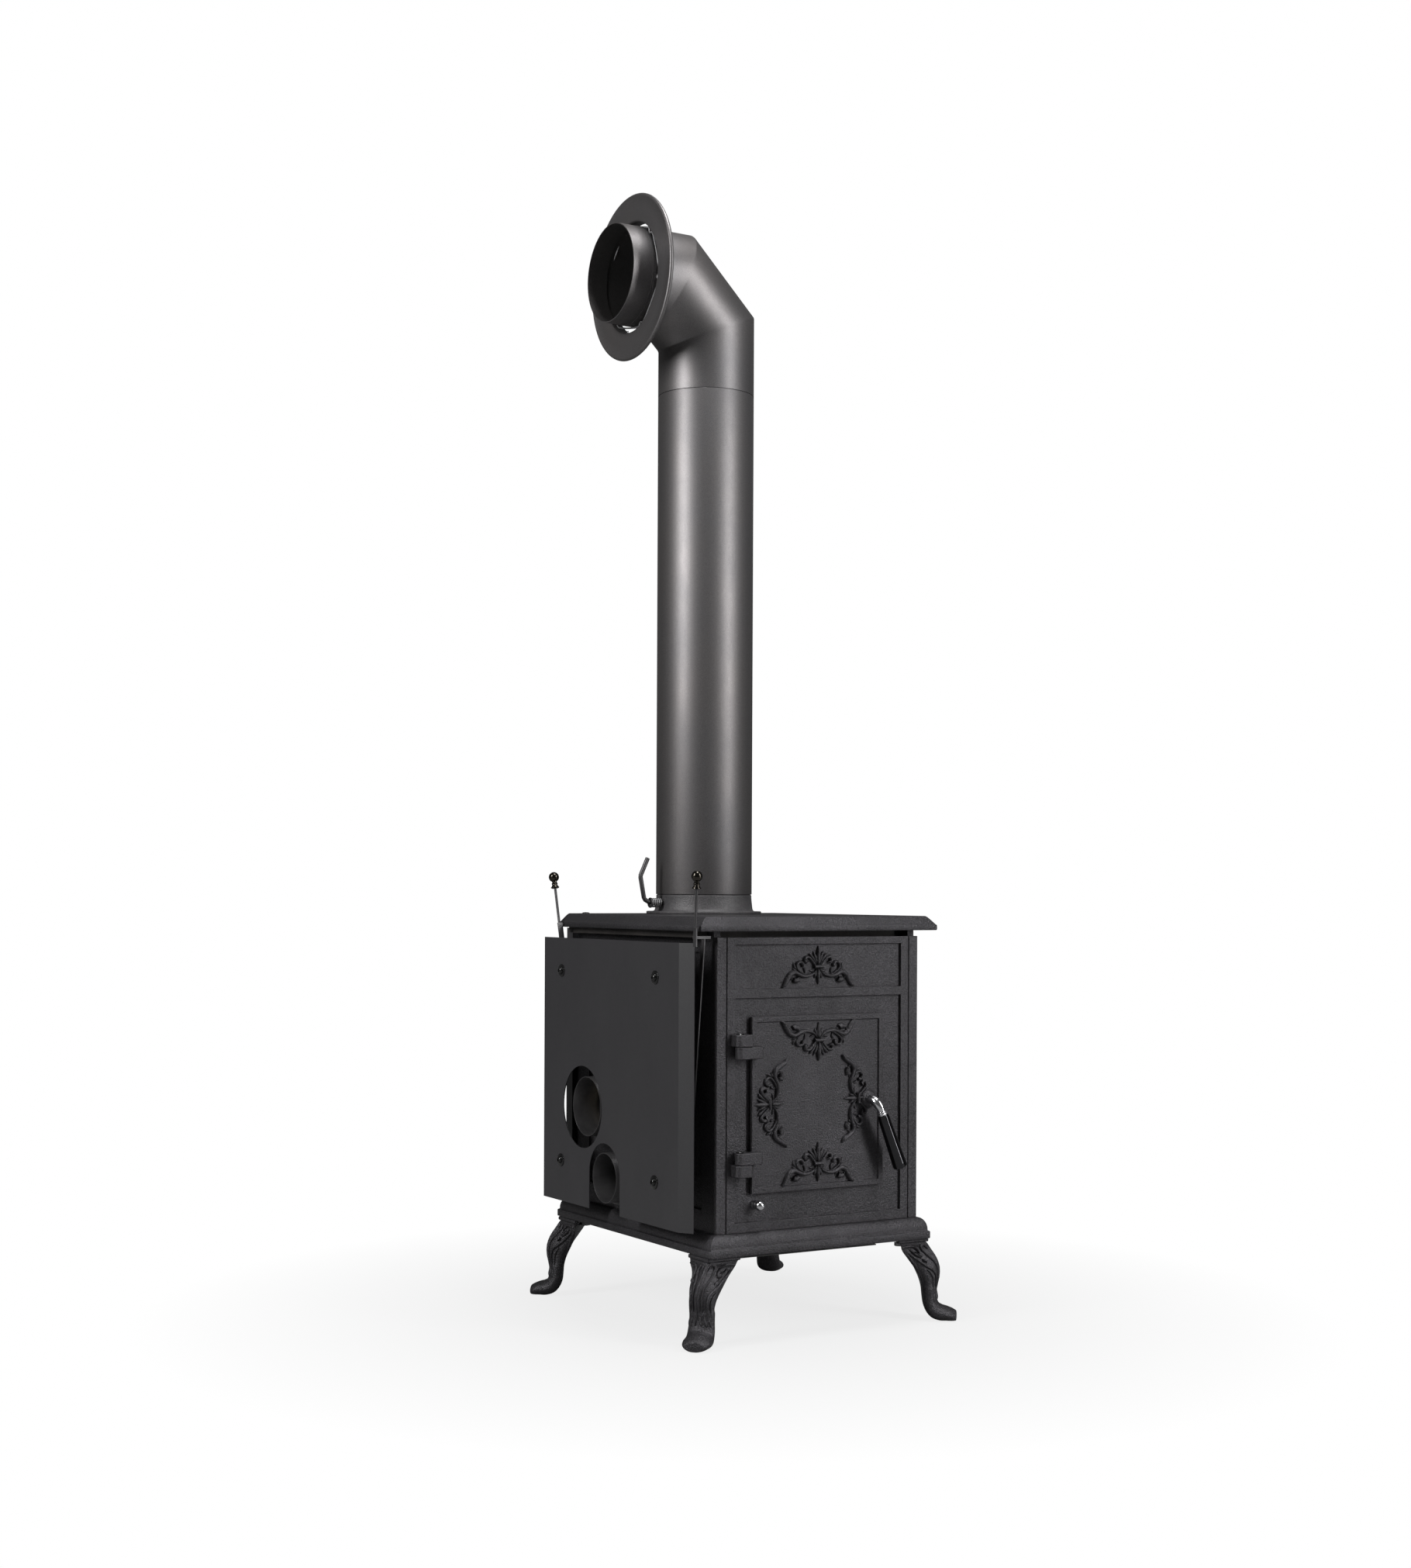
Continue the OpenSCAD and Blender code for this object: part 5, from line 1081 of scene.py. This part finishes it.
def gate_knob(name, group, low, lean, stands_for):
    """A ball knob at the top of a rod that starts at low and leans back by the angle given."""
    along = Vector((0, math.sin(lean), math.cos(lean)))
    length = (KNOB_Z - low[2]) / math.cos(lean)
    profile = [(r, length - under) for r, under in (
        (0, 17.4), (5.9, 17.4), (6.6, 16.8), (6.5, 16.2), (4.9, 14.4), (4.1, 12.4), (4.4, 11.2),
        (4.9, 10.6), (4.4, 9.6), (3.6, 8.6))]
    profile += arc(0, length, 8.0, -62, 90, 12)[:-1] + [(0, length + 8)]
    piece(name, "black_nickel", turned(profile, low, along, 40), [stands_for], 44, body=group)
    return round(length, 1)


lean = math.radians(15)
upper_low = (-212, 179 + 31 * math.sin(lean), 551 + 31 * math.cos(lean))
lengths = [gate_knob("upper_ball_knob", "upper_gate_group", upper_low, lean, "upper_gate_knob"),
           gate_knob("lower_ball_knob", "lower_gate_group", (-212, -226, 582), math.radians(-3.3),
                     "lower_gate_knob")]
strap = slab((-4, -3.2, -31), (4.2, -1.2, 2))
strap_move = Matrix.Translation(upper_low) @ Matrix.Rotation(-lean, 4, "X")
piece("upper_rod_strap", "dark_steel", ([strap_move @ Vector(v) for v in strap[0]], strap[1]),
      smooth=30, body="upper_gate_group")
print("rod lengths", *lengths)

# %% [markdown]
# ## Fasteners
#
# The shield's four screws are alike, so they are one screw, placed by Geometry Nodes on four
# points. The same tree sets their washers and the domed screw on the top plate.


# %% One tree that sets a fastener on every point
def scatter_tree():
    group, given = new_group("set_fasteners", "GeometryNodeTree", {
        "Geometry": "Geometry", "Fastener": "Object", "Turn": "Rotation", "Material": "Material"},
        {"Geometry": "Geometry"})
    source = add(group, "GeometryNodeObjectInfo", {"Object": given["Fastener"]})
    place = add(group, "GeometryNodeInstanceOnPoints", {
        "Points": given["Geometry"], "Instance": source.outputs["Geometry"], "Rotation": given["Turn"]})
    return painted(group, given, place.outputs["Instances"])


SCATTER = scatter_tree()


def set_fasteners(name, part, points, turn, stands_for):
    """Copies of one turned fastener at every point. The pattern itself is removed again."""
    pattern = placed(name + "_pattern", reworked(new_mesh(name, part), 1e-6, outwards=True))
    settings = {"Fastener": pattern, "Turn": turn, "Material": FINISH["black_fixings"]}
    grown(name, SCATTER, settings, "stove_body", "black_fixings", stands_for,
          seeds=new_mesh(name, (points, [])))
    bpy.data.objects.remove(pattern)


SHIELD_X, WASHER = -220.5, 1.4        # the side shield's outer face, and the washer's thickness
shield_points = [(SHIELD_X, y, z) for y in (-129.5, 161.5) for z in (219.5, 510.5)]
face_left = (0, math.radians(-90), 0)
button = turned([(0, -1), (5.4, -1), (5.6, 0), (5.3, 1.5), (4.4, 3.0), (3.2, 3.9), (2.6, 4.1), (2.3, 3.6),
                 (2.1, 1.8), (0, 1.6)], sides=32)
set_fasteners("shield_button_screws", button, [(x - WASHER, y, z) for x, y, z in shield_points],
              face_left, ["shield_screws"])
washer = turned([(3.4, 0), (9.4, 0), (9.8, 0.3), (9.8, 1.1), (9.4, WASHER), (3.4, WASHER), (3.4, 0)],
                sides=40)
set_fasteners("shield_round_washers", washer, shield_points, face_left, ["shield_washers"])
dome = turned([(0, -2), (6, -2), (6, 0.2), (5.6, 0.8), (4.2, 1.4), (2.2, 1.7), (0, 1.8)], sides=32)
set_fasteners("top_dome_screw", dome, [(-167.5, 184, 598)], (0, 0, 0), ["top_plate_screws"])
print("fasteners set:", len(shield_points) * 2 + 1)

# %% [markdown]
# ## Ducts, shields and the rest
#
# The ducts are plain tubes, worth a smooth mesh because their mouths face the camera. The rear
# shield is a bent sheet. The other castings and sheets already have the right shape in the CAD
# model, so they are copied with their edges rounded.

# %% Ducts, softened copies and the rear shield
for name, y, z, r in (("upper_duct", 86, 308, 45), ("lower_duct", 29, 206.5, 37.5)):
    mouth = [(r - 1.5, 38.6), (r, 38.6), (r, 0.5), (r - 0.4, 0), (r - 1.1, 0), (r - 1.5, 0.5),
             (r - 1.5, 38.6)]
    piece(f"{name}_tube", "dark_steel", turned(mouth, (-216, y, z), (1, 0, 0), 96), [name], 40)

for node, width in {
        "left_side_plate": 1.2, "right_side_plate": 1.2, "hearth_plate": 0.8, "grate": 0.8,
        "log_guard": 1.0, "rear_brick": 1.6, "side_bricks": 1.6, "baffle_plate": 1.0, "door_liner": 0.6,
        "latch_cam": 0.6, "back_plate": 1.0, "upper_gate": 0.25, "lower_gate": 0.25}.items():
    soften(node, width)

SHEET_X, SHEET_Y, SHEET_LOW, SHEET_HIGH = 179.5, 224, DECK + 2, 575
sheet = [slab((-SHEET_X, SHEET_Y - 1.5, SHEET_LOW), (SHEET_X, SHEET_Y, SHEET_HIGH))]
sheet += [slab((x, 204, SHEET_LOW), (x + 1.2, SHEET_Y, SHEET_HIGH)) for x in (-SHEET_X, SHEET_X - 1.2)]
piece("rear_shield_sheet", "shield_sheet", joined(sheet), ["rear_heat_shield"], 30)
